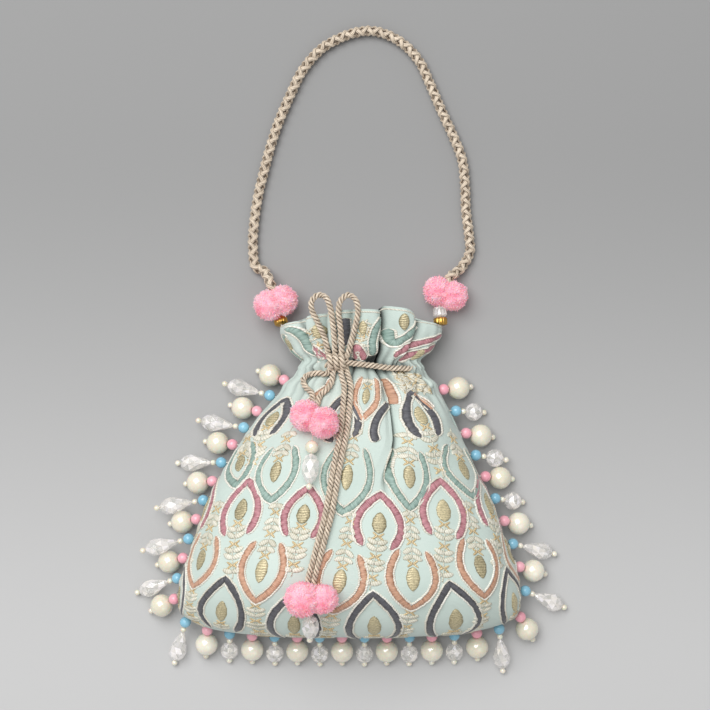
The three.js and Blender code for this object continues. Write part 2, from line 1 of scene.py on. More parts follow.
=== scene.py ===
import bmesh
import bpy
import numpy as np
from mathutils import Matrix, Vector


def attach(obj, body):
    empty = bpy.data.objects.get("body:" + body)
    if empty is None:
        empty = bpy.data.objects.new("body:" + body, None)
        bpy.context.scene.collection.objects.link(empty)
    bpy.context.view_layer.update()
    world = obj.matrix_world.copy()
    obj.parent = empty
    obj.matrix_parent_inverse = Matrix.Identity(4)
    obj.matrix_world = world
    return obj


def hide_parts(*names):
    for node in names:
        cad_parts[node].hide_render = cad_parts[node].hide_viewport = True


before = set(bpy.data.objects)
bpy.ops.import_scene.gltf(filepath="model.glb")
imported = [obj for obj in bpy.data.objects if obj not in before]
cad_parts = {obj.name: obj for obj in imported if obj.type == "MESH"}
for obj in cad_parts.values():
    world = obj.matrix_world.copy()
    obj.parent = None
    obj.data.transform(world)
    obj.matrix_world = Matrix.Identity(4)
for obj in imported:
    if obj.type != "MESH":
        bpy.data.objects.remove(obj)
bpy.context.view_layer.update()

# Studio: the bag lies on a sheet of pale grey paper and is seen from straight above.
# A wide soft light stands beyond its upper left, and a weak one fills from the lower right.
PAPER_HALF, PAINTED_LIGHT_Y, PAINTED_SHADE_Y = 1500, -0.1, 0.2
ROOM_LIGHT, WINDOW_WATTS, FILL_WATTS = 0.46, 32.0, 1.5
CAMERA_AT, FOCAL, SENSOR, FAR = (0.0025, 0.0825, 0.9), 90.15, 36.0, 20.0


class Tint:
    """A shader socket that takes part in Python arithmetic: each expression adds its Math node."""

    def __init__(self, socket):
        self.socket = socket

    def node(self, kind, settings, inputs, out=0):
        """Any node: its type, its settings, then the values or links of its sockets."""
        tree = self.socket.id_data
        made = tree.nodes.new(kind)
        for key, value in settings.items():
            setattr(made, key, value)
        for key, value in inputs.items():
            if isinstance(value, Tint):
                tree.links.new(value.socket, made.inputs[key])
            else:
                made.inputs[key].default_value = value
        return Tint(made.outputs[out])

    def math(self, operation, *others):
        """One Math node on this value and the others."""
        return self.node("ShaderNodeMath", {"operation": operation}, dict(enumerate((self, *others))))

    def __add__(self, other):
        return self.math("ADD", other)

    def __sub__(self, other):
        return self.math("SUBTRACT", other)

    def __rsub__(self, other):
        return self.node("ShaderNodeMath", {"operation": "SUBTRACT"}, {0: other, 1: self})

    def __mul__(self, other):
        return self.math("MULTIPLY", other)

    def __pow__(self, other):
        return self.math("POWER", other)

    __radd__, __rmul__ = __add__, __mul__

    def between(self, low, high):
        """This value as a share of the way from one colour to another."""
        return self.node("ShaderNodeMix", {"data_type": "RGBA"}, {0: self, 6: low, 7: high}, out=2)

    def noise(self, scale, detail=2.0):
        """Soft random spots, as many to each unit of this place as the scale says."""
        return self.node("ShaderNodeTexNoise", {}, {"Vector": self, "Scale": scale, "Detail": detail})

    def stretched(self, scale):
        """This place with each of its axes scaled by itself."""
        return self.node("ShaderNodeMapping", {}, {0: self, "Scale": scale})

    def axes(self):
        """The three numbers of this place."""
        split = self.node("ShaderNodeSeparateXYZ", {}, {0: self}).socket.node
        return [Tint(s) for s in split.outputs]


def srgb(*channels):
    """A colour as it is read off a screen, 0 to 255, as the linear colour that a shader takes."""
    c = np.array(channels) / 255
    return (*np.where(c <= 0.04045, c / 12.92, ((c + 0.055) / 1.055) ** 2.4), 1.0)


def finish(name, plain):
    """A new material with its constant values set straight on the shader's own sockets. Returns it with its
    shader, its place on the piece in metres, and its place on the piece's own map."""
    made = bpy.data.materials.new(name)
    made.use_nodes = True
    shader = made.node_tree.nodes["Principled BSDF"]
    for socket, value in plain.items():
        shader.inputs[socket].default_value = value
    coords = made.node_tree.nodes.new("ShaderNodeTexCoord")
    return made, shader, Tint(coords.outputs["Object"]), Tint(coords.outputs["UV"])


def wear(shader, color, rough, height, depth):
    """Links what changes over a surface: its colour, its roughness if that changes, and the height of its
    relief, whose full step is a depth in metres."""
    links = shader.id_data.links
    links.new(color.socket, shader.inputs["Base Color"])
    if rough is not None:
        links.new(rough.socket, shader.inputs["Roughness"])
    bump = height.node("ShaderNodeBump", {}, {"Height": height, "Distance": depth, "Strength": 1.0})
    links.new(bump.socket, shader.inputs["Normal"])


def mesh_piece(name, points, faces, uv=None, tone=None, flat=False, turn=True):
    """A mesh from points in millimetres and face arrays, each array with faces of one size. tone is a
    number for each point or each face. Where turn is set, every closed shell in it gets its faces turned
    outwards."""
    mesh = bpy.data.meshes.new(name)
    corners = np.concatenate([f.ravel() for f in faces])
    sizes = np.concatenate([np.full(len(f), f.shape[1]) for f in faces])
    points = np.asarray(points, float).reshape(-1, 3) / 1000
    mesh.vertices.add(len(points))
    mesh.vertices.foreach_set("co", points.astype(np.float32).ravel())
    mesh.loops.add(len(corners))
    mesh.loops.foreach_set("vertex_index", corners.astype(np.int32))
    mesh.polygons.add(len(sizes))
    starts = np.concatenate([[0], np.cumsum(sizes)[:-1]])
    mesh.polygons.foreach_set("loop_start", starts.astype(np.int32))
    mesh.update(calc_edges=True)
    if tone is not None:
        layer = mesh.attributes.new("tone", "FLOAT", "POINT" if np.size(tone) == len(points) else "FACE")
        layer.data.foreach_set("value", np.asarray(tone, np.float32).ravel())
    if uv is not None:
        layer = mesh.uv_layers.new(name="place")
        layer.data.foreach_set("uv", np.asarray(uv, np.float32).reshape(-1, 2)[corners].ravel())
    if turn:
        shell = bmesh.new()
        shell.from_mesh(mesh)
        bmesh.ops.recalc_face_normals(shell, faces=shell.faces)
        shell.to_mesh(mesh)
        shell.free()
    mesh.polygons.foreach_set("use_smooth", np.full(len(mesh.polygons), not flat))
    made = bpy.data.objects.new(name, mesh)
    bpy.context.scene.collection.objects.link(made)
    return made


paper, shader, place, _ = finish("grey_paper", {"Roughness": 0.9})
_, along, _ = place.axes()
# The paper is painted lighter towards the bottom and darker towards the top: a painted falloff of the light
# across it.
fade = along.node("ShaderNodeMapRange", {"clamp": True, "interpolation_type": "SMOOTHSTEP"},
                  {0: along, 1: PAINTED_LIGHT_Y, 2: PAINTED_SHADE_Y, 3: 0.0, 4: 1.0})
grain = place.noise(900.0) * 0.04 + 0.98
wear(shader, fade.between(srgb(191, 191, 191), srgb(146, 146, 146)), None, grain, 0.0001)
square = np.array([[-1, -1, 0], [1, -1, 0], [1, 1, 0], [-1, 1, 0]])
floor = mesh_piece("paper_floor", PAPER_HALF * square, [np.array([[0, 1, 2, 3]])], turn=False)
floor.data.materials.append(paper)

room = bpy.data.worlds.new("room")
room.use_nodes = True
sky = room.node_tree.nodes["Background"].inputs
sky["Color"].default_value = (1.0, 1.0, 1.0, 1.0)
sky["Strength"].default_value = ROOM_LIGHT
bpy.context.scene.world = room


def softbox(name, at, aim, size, power):
    """A square soft light at a point, turned to another point, in metres."""
    lamp = bpy.data.lights.new(name, "AREA")
    lamp.size, lamp.energy = size, power
    made = bpy.data.objects.new(name, lamp)
    bpy.context.scene.collection.objects.link(made)
    made.location = at
    way = Vector(aim) - Vector(at)
    made.rotation_euler = way.to_track_quat("-Z", "Y").to_euler()


softbox("window", (-0.5, 0.75, 1.6), (0.0, 0.05, 0.0), 1.4, WINDOW_WATTS)
softbox("fill", (0.5, -0.7, 1.2), (0.0, 0.0, 0.0), 1.0, FILL_WATTS)
lens = bpy.data.cameras.new("camera")
lens.lens, lens.sensor_width, lens.clip_end = FOCAL, SENSOR, FAR
camera = bpy.data.objects.new("camera", lens)
camera.location = CAMERA_AT
bpy.context.scene.collection.objects.link(camera)
bpy.context.scene.camera = camera
bpy.context.scene.view_settings.view_transform = "Standard"

# Front panel: one half of the pouch, pale mint silk with its backing, sewn to the back along both sides and
# the bottom, drawn into gathers at the neck and left open above as a fluted frill.
SEAM_Z, SEAM_GAP, CLOTH = 11.0, 0.15, 1.2
WIDE_Y, BASE_DROP, BASE_HALF, BASE_ROUND = -38.0, 18.0, 85.0, 3.5
BOTTOM_Y, CORNER_X = WIDE_Y - BASE_DROP, 0.85 * BASE_HALF
NECK_LOW, NECK_HIGH, NECK_HALF, NECK_X, SHOULDER = 75.0, 79.0, 28.0, 5.5, 1.3
HEM_Y, FLARE, PUFF, HEM_BOW, LOBE_RISE = 97.0, 12.0, 2.8, 8.0, 2.8
BELLY_ROLL, BELLY_RISE, NECK_RISE, FRILL_RISE, OVERHANG, ARCH = 32.0, 44.0, 16.0, 6.0, 2.5, 2.4
# Angles run across the cloth in degrees, from the left seam at 0 to the right one at 180. Folds are the
# creases between gathers, pleats have a width and a depth, tucks a lean and the height at which they cross
# their angle.
FOLDS = np.array([0.0, 45, 64, 84, 106, 136, 180])
MAIN_FOLD, MAIN_BELOW, MAIN_SWING, MAIN_RETURN = FOLDS[4], 102, 8.4, 4.4
PLEATS = np.array([[16, 3.5, 0.9], [33, 3, 1.2], [55, 2.5, 1.0], [73, 2.5, 0.8], [94, 2.5, 1.3],
                   [113, 3, 1.5], [123, 3, 1.4], [148, 4, 1.5], [160, 3, 1.2]])
TUCKS = [(55, -1.2, 82), (134, 0.6, 86), (73, 0.4, 86)]
GATHERS_LONG, PLEATS_LONG, MAIN_LONG, MAIN_FULL = 52, 30, 78, 31.2
GATHER_DEEP, FRILL_DEEP, HEM_DEEPER, TUCK_DEEP, MAIN_DEEP, SLIT_DEEP = 3.6, 3.8, 2.6, 1.5, 1.8, 3.4
CORD_Y, CORD_RISE, KNOT_ANGLE, CORD_SPREAD = 75.9, 2.6, 78, 26
SWELL, SWELL_OFF, COVER = 2.1, 7.5, 3.9
BUNCH_ANGLE, BUNCH_Y, BUNCH_DEEP = 145, 68.5, 2.0
SIDE_PUCKER, BOTTOM_PUCKER = 9.5, 9


def smooth(a, b, v):
    """0 below a, 1 above b, and an even slope without corners between them."""
    k = np.clip((v - a) / (b - a), 0, 1)
    return k * k * (3 - 2 * k)


def oval(k, power):
    """Height of a rounded arch over a share from -1 to 1, squarer for a higher power."""
    return np.maximum(0, 1 - np.minimum(1, np.abs(k)) ** power) ** (1 / power)


def hill(far, wide):
    """1 on a line and falling off to both sides of it within a width."""
    return np.exp(-((far / wide) ** 2))


def bottom_y(x):
    """The bottom seam in plan: a flattened oval below the widest line."""
    return WIDE_Y - BASE_DROP * oval(x / BASE_HALF, BASE_ROUND)


CORNER_Y = float(bottom_y(CORNER_X))


def half_width(y):
    """Half the bag's width: an oval from the widest line up to the neck, a flare above it."""
    body = NECK_HALF + (BASE_HALF - NECK_HALF) * oval((y - WIDE_Y) / (NECK_LOW - WIDE_Y), SHOULDER)
    side = np.where(y >= WIDE_Y, body, BASE_HALF * oval((WIDE_Y - y) / BASE_DROP, BASE_ROUND))
    puff = PUFF * np.sin(np.pi * np.clip((y - NECK_HIGH) / (HEM_Y - NECK_HIGH), 0, 1))
    return np.where(y >= NECK_LOW, NECK_HALF + FLARE * smooth(NECK_HIGH, HEM_Y, y) + puff, side)


def centre_x(y):
    """The bag's middle line in plan: straight below, then bent over to the neck, which sits a little to the
    right."""
    return NECK_X * smooth(WIDE_Y + 0.55 * (NECK_LOW - WIDE_Y), NECK_LOW, y)


def panel_rows(radius, rise_low, rise_body, rise_frill, overhang):
    """A panel's rows from the bottom seam to the hem: the roll up from the seam, the body, the neck and the
    frill. Each entry holds one number for each row: the height of its edge, how far its middle bows from
    that and hangs out over the seam, its rise from the seam, its half width, its share of the frill,
    whether it is above the neck, and the length v up the middle line to it."""
    turn = np.linspace(0, np.pi / 2, 80)
    k, f = np.linspace(0, 1, 160)[1:], np.linspace(0, 1, 50)
    roll = 1 - np.cos(turn)
    start = BOTTOM_Y + radius
    climb, flare = start + (NECK_LOW - start) * k, NECK_HIGH + (HEM_Y - NECK_HIGH) * f
    edge = np.concatenate([CORNER_Y + (start - CORNER_Y) * roll, climb, flare])
    out = np.concatenate([overhang * np.sin(3 * turn) * (turn < np.pi / 3), 0 * k, 0 * f])
    middle = np.concatenate([BOTTOM_Y + radius * roll, climb, flare + HEM_BOW * f * f])
    rise = np.concatenate([rise_low(turn), rise_body(k, climb), rise_frill(f)])
    rows = {"edge": edge, "bow": middle - edge, "out": out, "rise": rise, "half": half_width(edge),
            "frill": np.concatenate([0 * turn, 0 * k, f]),
            "open": np.concatenate([0 * turn, 0 * k, 0 * f + 1])}
    rows["v"] = np.concatenate([[0], np.cumsum(np.hypot(np.diff(middle - out), np.diff(rise)))])
    return rows


def girths(rows, x, z):
    """Half the length of each row across the panel, along the outline x, z of its section."""
    run = np.hypot(np.diff(x)[None] * rows["half"][:, None], np.diff(z)[None] * rows["rise"][:, None])
    return run.sum(1) / 2


def even_share(x, z, squash):
    """Length along a section's outline as a share from -1 to 1, with its height scaled by squash."""
    run = np.concatenate([[0], np.cumsum(np.hypot(np.diff(x), squash * np.diff(z)))])
    return 2 * run / run[-1] - 1


front_rows = panel_rows(BELLY_ROLL, lambda a: BELLY_RISE * np.sin(a),
                        lambda k, _: NECK_RISE + (BELLY_RISE - NECK_RISE) * (1 - k ** 2.2),
                        lambda f: NECK_RISE + FRILL_RISE * smooth(0, 1, f), OVERHANG)
bend = np.linspace(0, 180, 4001)
lean = np.cos(np.radians(bend))
front_x = -np.sign(lean) * np.abs(lean) ** (2 / ARCH)
front_z = np.abs(np.sin(np.radians(bend))) ** (2 / ARCH)
front_s = even_share(front_x, front_z, 0.55)
front_rows["girth"] = girths(front_rows, front_x, front_z)


def row_values(rows, v):
    """Every entry of a panel's rows at the lengths v."""
    return {key: np.interp(v, rows["v"], rows[key]) for key in rows if key != "v"}


def crease(angle):
    """0 on the crest of a gather and 1 in the crease beside it, with the outermost gathers left smooth."""
    i = np.clip(np.searchsorted(FOLDS, angle) - 1, 0, len(FOLDS) - 2)
    a, b = FOLDS[i], FOLDS[i + 1]
    k = (2 * angle - a - b) / (b - a)
    outer = ((i == 0) & (k < 0)) | ((i == len(FOLDS) - 2) & (k > 0))
    return np.where(outer, 0, np.abs(k) ** 2.2)


def valley_angle(e, frill):
    """Where the deepest fold runs, as an angle across the cloth: straight on the frill, and below it swung
    out to one side and back again."""
    below = MAIN_BELOW + MAIN_SWING * smooth(18, 44, e) - MAIN_RETURN * smooth(60, 75, e)
    return MAIN_FOLD * frill + below * (1 - frill)


def cord_y(angle):
    """Height of the drawstring's line round the neck: highest at the knot and lower towards both sides."""
    return CORD_Y + CORD_RISE * hill(angle - KNOT_ANGLE, CORD_SPREAD)


def tucks(angle, e, wide):
    """1 along the slanting creases of the frill, falling off to both sides within a width in degrees."""
    return np.max([hill(angle - a - slope * (e - high), wide) for a, slope, high in TUCKS], 0)


def bunched(angle, e):
    """Ripples of the cloth that is bunched up right of the knot, from -1 to 1, and none away from there."""
    spot = hill(angle - BUNCH_ANGLE, 16) * hill(e - BUNCH_Y, 5)
    return spot * np.sin(0.62 * angle) * np.cos(0.7 * (e - 69))


def bowed(at, share):
    """Height of a row's points: that of its edge, with the middle sagging at the seam and bulging at the
    hem."""
    sag = (bottom_y(share * CORNER_X) - CORNER_Y) / (BOTTOM_Y - CORNER_Y)
    bow = at["bow"] * ((1 - at["open"]) * sag + at["open"] * (1 - share ** 2))
    return at["edge"] + bow - at["out"] * sag


def front(s, v):
    """The front cloth in millimetres. s runs from -1 to 1 across it and v up its middle line from the
    bottom seam. A row is a rounded arch between the two side seams, pulled in along the gathers and small
    pleats that fade away from the neck; the cloth swells at both sides of the drawstring and closes over it
    beside the knot; slow swells of the body and the puckers of the seam are added along the same line."""
    at = row_values(front_rows, v)
    angle = np.interp(s, front_s, bend)
    c, e = np.cos(np.radians(angle)), at["edge"]
    share = -np.sign(c) * np.abs(c) ** (2 / ARCH)
    x, z = share * at["half"], np.sin(np.radians(angle)) ** (2 / ARCH) * at["rise"]
    near = smooth(NECK_LOW - GATHERS_LONG, NECK_LOW, e)
    main = smooth(NECK_LOW - MAIN_LONG, NECK_LOW - MAIN_FULL, e)
    beside = np.abs(angle - valley_angle(e, at["open"]))
    folded = GATHER_DEEP * near ** 1.6 * crease(angle) + MAIN_DEEP * main * np.maximum(0, 1 - beside / 7)
    depth = np.where(at["open"] > 0.5, (FRILL_DEEP + HEM_DEEPER * at["frill"]) * crease(angle), folded)
    depth = depth + TUCK_DEEP * at["open"] * tucks(angle, e, 3.0)
    fade = np.where(e < NECK_LOW, smooth(NECK_LOW - PLEATS_LONG, NECK_LOW - 2, e),
                    1 - 0.75 * smooth(NECK_HIGH, HEM_Y, e))
    for a, wide, deep in PLEATS:
        depth = depth + deep * fade * hill(angle - a, wide)
    depth = depth + (1.2 + 4.5 * at["open"]) * main * np.exp(-beside / 3)
    depth = depth + SLIT_DEEP * smooth(12, 30, e) * np.maximum(0, 1 - beside / 2.2) * (1 - at["open"])
    line = cord_y(angle)
    swell = hill(e - line + SWELL_OFF, 3.4) + hill(e - line - SWELL_OFF, 3.2)
    casing = (smooth(131, 140, angle) + 1 - smooth(54, 63, angle)) * (1 - smooth(0.9, 1.0, np.abs(s)))
    cover = casing * hill(e - line, 3.2)
    depth = depth * (1 - 0.85 * cover) - SWELL * swell - (COVER + 0.4 * np.sin(1.1 * angle)) * cover
    depth = depth + 0.4 * (1 - casing) * hill(e - line, 2.4)
    depth = depth - BUNCH_DEEP * bunched(angle, e)
    across = s * at["girth"]
    waves = (0.7 * np.sin(0.105 * across + 0.031 * v + 0.6) * np.sin(0.067 * v - 0.02 * across)
             + 0.4 * np.sin(0.19 * across - 0.11 * v + 2.0))
    depth = depth - smooth(4, 22, v) * (1 - smooth(140, 166, v)) * waves
    sewn = np.exp(-(1 - np.abs(s)) * at["girth"] / 6) * np.sin(2 * np.pi * v / SIDE_PUCKER)
    lower = np.exp(-v / 7) * np.sin(2 * np.pi * across / BOTTOM_PUCKER) * (v > 0)
    depth = depth + 0.55 * (1 - near) * sewn + 0.5 * lower
    far = np.hypot(x, z)
    pull = 1 - depth * np.minimum(1, far / 9) / np.maximum(far, 1e-6)
    lobe = LOBE_RISE * at["frill"] * smooth(105.5, 108.5, angle) * (1 - smooth(120, 139, angle))
    return np.stack([centre_x(e) + x * pull, bowed(at, share) + lobe, SEAM_Z + SEAM_GAP + z * pull], -1)


def painted_fold_shade(s, v):
    """How deep a spot of the front cloth lies in a fold, from 0 to 1, as the amount of painted shade it
    gets: the silk is darkened towards near black there. It adds up the main fold with the dark patch beside
    it, the tucks, the gathers and pleats, the bunched spot, the painted shadow band under the drawstring and
    the painted contact shadow along the turn under the bottom seam."""
    at = row_values(front_rows, v)
    e, frill = at["edge"], at["open"]
    angle = np.interp(s, front_s, bend)
    beside = angle - valley_angle(e, frill)
    near = smooth(NECK_LOW - 26, NECK_LOW - 2, e) * (1 - smooth(NECK_HIGH, HEM_Y, e))
    main = hill(beside, 1.8) + np.exp(-(((beside + 5.5) / 6.5) ** 4)) * (1 - smooth(0.12, 0.42, at["frill"]))
    main = main * frill + 0.55 * frill * tucks(angle, e, 1.5)
    low = smooth(12, 30, e) * np.maximum(0, 1 - np.abs(beside) / 1.4) * (1 - frill)
    gathers = smooth(NECK_LOW - 24, NECK_LOW, e) * (1 - 0.4 * smooth(NECK_HIGH, HEM_Y, e))
    gathers = 0.9 * crease(angle) ** 3 * gathers
    for a, wide, deep in PLEATS:
        gathers = gathers + 0.3 * deep * near * hill(angle - a, 0.6 * wide)
    rippled = 1.2 * np.maximum(0, -bunched(angle, e))
    band = 0.75 * hill(e - cord_y(angle), 2.4) * smooth(56, 64, angle) * (1 - smooth(130, 138, angle))
    under = 0.8 * np.exp(-v / 3.0) * (1 - smooth(0.8, 0.95, np.abs(s)))
    return np.clip(main + low + gathers + rippled + band + under, 0, 1)


def cloth_shell(outer, inner, flip):
    """Faces of a closed sheet: an outer grid, an inner grid and the rim that joins them."""
    a, b = outer.shape[:2]
    ids = np.arange(a * b).reshape(a, b)
    quad = np.stack([ids[:-1, :-1], ids[1:, :-1], ids[1:, 1:], ids[:-1, 1:]], -1).reshape(-1, 4)
    rim = np.concatenate([ids[:, 0], ids[-1, 1:], ids[-2::-1, -1], ids[0, -2:0:-1]])
    edge = np.stack([rim, rim + a * b, np.roll(rim, -1) + a * b, np.roll(rim, -1)], -1)
    faces = np.concatenate([quad, quad[:, ::-1] + a * b, edge])
    points = np.concatenate([outer.reshape(-1, 3), inner.reshape(-1, 3)])
    return points, faces[:, ::-1] if flip else faces


def facing(grid):
    """Unit normals of a grid of points."""
    n = np.cross(np.gradient(grid, axis=0), np.gradient(grid, axis=1))
    return n / np.maximum(np.linalg.norm(n, axis=-1, keepdims=True), 1e-9)


def tone_of(shader):
    """The piece's own attribute tone, from 0 to 1: how deep cloth lies in a fold, which sets the painted
    shade of the front cloth, or what sets one stitch, fibre or bead apart from the next; on the pom-poms it
    also paints the dips between tufts darker as painted shade."""
    made = shader.id_data.nodes.new("ShaderNodeAttribute")
    made.attribute_name = "tone"
    return Tint(made.outputs["Fac"])


def dress(piece, material, slot, *nodes):
    """Gives a piece its material, ties it to the bag, and hides the solids that it stands for."""
    piece.data.materials.append(material)
    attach(piece, "root")
    if nodes:
        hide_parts(*nodes)
    return piece


silk, shader, place, flat = finish("mint_silk", {"Roughness": 0.6, "Sheen Weight": 0.25,
                                                 "Sheen Roughness": 0.4})
warp, weft, _ = flat.axes()
slub = flat.stretched((0.35, 2.2, 1.0)).noise(1.0, 3.0)
thread = (warp * 7.0).math("SINE") * (weft * 7.0).math("SINE")
cloudy = place.noise(26.0, 3.0)
shade = (cloudy * 0.7 + slub * 0.3).between(srgb(184, 203, 195), srgb(217, 228, 221))
# Painted shade: the silk is darkened towards near black where the tone marks folds, the band under the
# drawstring and the turn under the bottom seam.
shade = tone_of(shader).between(shade, srgb(18, 22, 19))
wear(shader, shade, 0.52 + slub * 0.2, thread * 0.5 + slub * 1.6, 0.00012)
columns = np.sort(np.concatenate([np.linspace(-1, 1, 173), np.linspace(0.185, 0.355, 50)]))
s, v = np.meshgrid(columns, np.linspace(0, front_rows["v"][-1], 181), indexing="ij")
outer = front(s, v)
points, faces = cloth_shell(outer, outer - CLOTH * facing(outer), False)
flat_map = np.stack([100 * s, v], -1).reshape(-1, 2)
front_panel = mesh_piece("pouch_front_cloth", points, [faces], np.tile(flat_map, (2, 1)),
                         np.tile(painted_fold_shade(s, v).ravel(), 2))
dress(front_panel, silk, "embroidered_cloth", "pouch_front_panel")

# Back panel: the other half of the pouch, the same silk, flat where the bag lies on it and lifted a little
# at the neck, where the drawstring runs under it.
BACK_ROLL, BACK_DEEP, BACK_LIFT = 14, 10.05, 4.2
back_rows = panel_rows(BACK_ROLL, lambda a: BACK_DEEP * np.minimum(1, 1.12 * np.sin(a)),
                       lambda _, e: BACK_DEEP - BACK_LIFT * smooth(NECK_LOW - 16, NECK_LOW, e),
                       lambda f: BACK_DEEP - BACK_LIFT * (1 - smooth(0, 1, f)), 0)
back_x = np.linspace(-1, 1, 4001)
back_z = np.minimum(1, 1.06 * np.maximum(0, 1 - np.abs(back_x) ** 5) ** 0.2)
back_s = even_share(back_x, back_z, 0.14)
back_rows["girth"] = girths(back_rows, back_x, back_z)


def back(s, v):
    """The back cloth in millimetres, by the same two parameters: a flat-bottomed tray below the seam line,
    with faint creases that run down from the neck."""
    at = row_values(back_rows, v)
    share = np.interp(s, back_s, back_x)
    x, e = share * at["half"], at["edge"]
    near = smooth(NECK_LOW - 45, NECK_LOW, e) * (1 - np.abs(s) ** 4)
    lift = near * (0.9 + 0.9 * np.cos(24 * s + 0.6)) * (1 - 0.6 * at["frill"])
    drop = at["rise"] * np.interp(share, back_x, back_z) - lift
    return np.stack([centre_x(e) + x, bowed(at, share), SEAM_Z - SEAM_GAP - drop], -1)


s, v = np.meshgrid(np.linspace(-1, 1, 101), np.linspace(0, back_rows["v"][-1], 101), indexing="ij")
outer = back(s, v)
points, faces = cloth_shell(outer, outer + CLOTH * facing(outer), True)
flat_map = np.stack([85 * s, v], -1).reshape(-1, 2)
back_panel = mesh_piece("pouch_back_cloth", points, [faces], np.tile(flat_map, (2, 1)), 0 * points[:, 0])
dress(back_panel, silk, "embroidered_cloth", "pouch_back_panel")

# Embroidery: open ogee drops in satin stitch, edged with a cream couched cord on both sides, each with a
# gold leaf inside and a vine of cream and gold leaves that runs out of its open end. All of it is sewn onto
# the silk. A rib's profile holds shares of its half width and of its height.
SATIN = np.array([[-1, -0.3], [-0.93, 0.35], [-0.55, 0.85], [0, 1], [0.55, 0.85], [0.93, 0.35], [1, -0.3],
                  [0, -0.5]])
CORDED = np.array([[-1, -0.2], [-0.6, 0.8], [0.6, 0.8], [1, -0.2], [0, -0.6]])
DROP_BAND, STROKE_BAND, BAND_HIGH, BAND_INSET = 1.55, 1.75, 0.6, 1.6
EDGE_HALF, EDGE_HIGH, EDGE_OUT = 0.54, 0.7, 0.38
LEAF_HALF, LEAF_START, LEAF_LONG = 3.3, 0.33, 0.4
VINE_START, TAIL_START, VINE_STEP, STEM_HALF, PETAL_HIGH = 0.78, -0.1, 3.3, 0.28, 0.55
CREAM_PETAL, GOLD_PETAL = (4.6, 1.55), (2.6, 0.6)
FRONT_CLOTH, BACK_CLOTH = (front, front_rows, 1), (back, back_rows, -1)


def stitched(cloth, s0, v0, p, q, wide, high, profile, shift=0.0):
    """Stitches laid on a cloth as closed ribs. Each row of p and q is a centreline in flat millimetres from
    the spot s0, v0; a rib is wide to each side of it, high in the middle, and moved sideways by shift."""
    sheet, rows, side = cloth
    s0, v0 = (np.broadcast_to(np.asarray(a, float), p.shape[:1])[:, None, None] for a in (s0, v0))
    girth = np.interp(v0, rows["v"], rows["girth"])
    dp, dq = np.gradient(p, axis=1), np.gradient(q, axis=1)
    span = np.maximum(np.hypot(dp, dq), 1e-9)
    wide, high, shift = (np.broadcast_to(a, p.shape)[..., None] for a in (wide, high, shift))
    reach = shift + wide * profile[:, 0]
    s = np.clip(s0 + (p[..., None] - (dq / span)[..., None] * reach) / girth, -0.985, 0.985)
    v = np.clip(v0 + q[..., None] + (dp / span)[..., None] * reach, 1.0, rows["v"][-1] - 0.6)
    ds, dv = sheet(s + 0.004, v) - sheet(s - 0.004, v), sheet(s, v + 0.3) - sheet(s, v - 0.3)
    n = side * np.cross(ds, dv)
    n /= np.maximum(np.linalg.norm(n, axis=-1, keepdims=True), 1e-9)
    length = np.cumsum(span, axis=1)[..., None] + 0 * v
    return sheet(s, v) + n * (high * profile[:, 1])[..., None], np.stack([length, 0 * v + profile[:, 0]], -1)


def joined(parts):
    """Many closed shells as one mesh. A part holds its points, its face arrays, its map and its tone, and
    faces with the same number of corners are put together."""
    base, sizes = 0, {}
    for points, faces, _, _ in parts:
        for face in faces:
            sizes.setdefault(face.shape[1], []).append(face + base)
        base += len(points)
    points, _, maps, tones = zip(*parts)
    faces = [np.concatenate(f) for f in sizes.values()]
    return np.concatenate(points), faces, np.concatenate(maps), np.concatenate(tones)


def tubes(rings, uv, tone):
    """A part of closed tubes from an array of rings: tube, ring, point of the ring. tone is one for each
    tube."""
    k, n, m = rings.shape[:3]
    ids = np.arange(k * n * m).reshape(k, n, m)
    turn = np.roll(ids, -1, axis=2)
    sides = np.stack([ids[:, :-1], ids[:, 1:], turn[:, 1:], turn[:, :-1]], -1).reshape(-1, 4)
    tone = np.broadcast_to(np.asarray(tone, float).reshape(-1, 1), (k, n * m)).ravel()
    return rings.reshape(-1, 3), [sides, ids[:, 0], ids[:, -1, ::-1]], uv.reshape(-1, 2), tone


# Each drop: the share across and the length up the cloth of its point, the same of its open end, and its
# width.
CHARCOAL_SIDE = [[-0.726, 149, -0.682, 130, 15], [0.515, 153.6, 0.545, 129.7, 18]]
CHARCOAL_NECK = [[-0.157, 150.4, -0.069, 128.5, 19]]
SAGE = [[-0.688, 105.3, -0.785, 125, 18], [-0.434, 98.7, -0.46, 124.7, 23], [-0.035, 93.3, 0, 124.9, 26.5],
        [0.321, 95.1, 0.375, 123.3, 21], [0.71, 99.7, 0.764, 124, 26]]
ROSE = [[-0.619, 107.5, -0.579, 81.5, 22], [-0.231, 104.8, -0.25, 81.4, 22],
        [0.174, 101.5, 0.126, 76.4, 24.5], [0.541, 107.7, 0.475, 80.9, 23.5],
        [0.896, 108.7, 0.8, 83, 22], [-0.93, 106, -0.9, 82, 20]]
COPPER = [[-0.77, 54.7, -0.762, 80.4, 25], [-0.414, 49.7, -0.401, 78.8, 24.5],
          [-0.074, 44.3, -0.022, 74.4, 25.5], [0.27, 45.9, 0.299, 75.1, 25.5], [0.614, 51, 0.639, 79.3, 24],
          [0.935, 56, 0.93, 81, 22]]
CHARCOAL_LOW = [[-0.583, 60.3, -0.604, 24, 26], [-0.235, 55.1, -0.265, 15, 25],
                [0.104, 54.2, 0.112, 14, 25.5], [0.458, 58.5, 0.49, 16, 25.5],
                [0.814, 62.8, 0.85, 24, 25], [-0.92, 63, -0.94, 30, 23]]
COPPER_HIGH = [[0.045, 139.8, 0.081, 161.6, 15]]
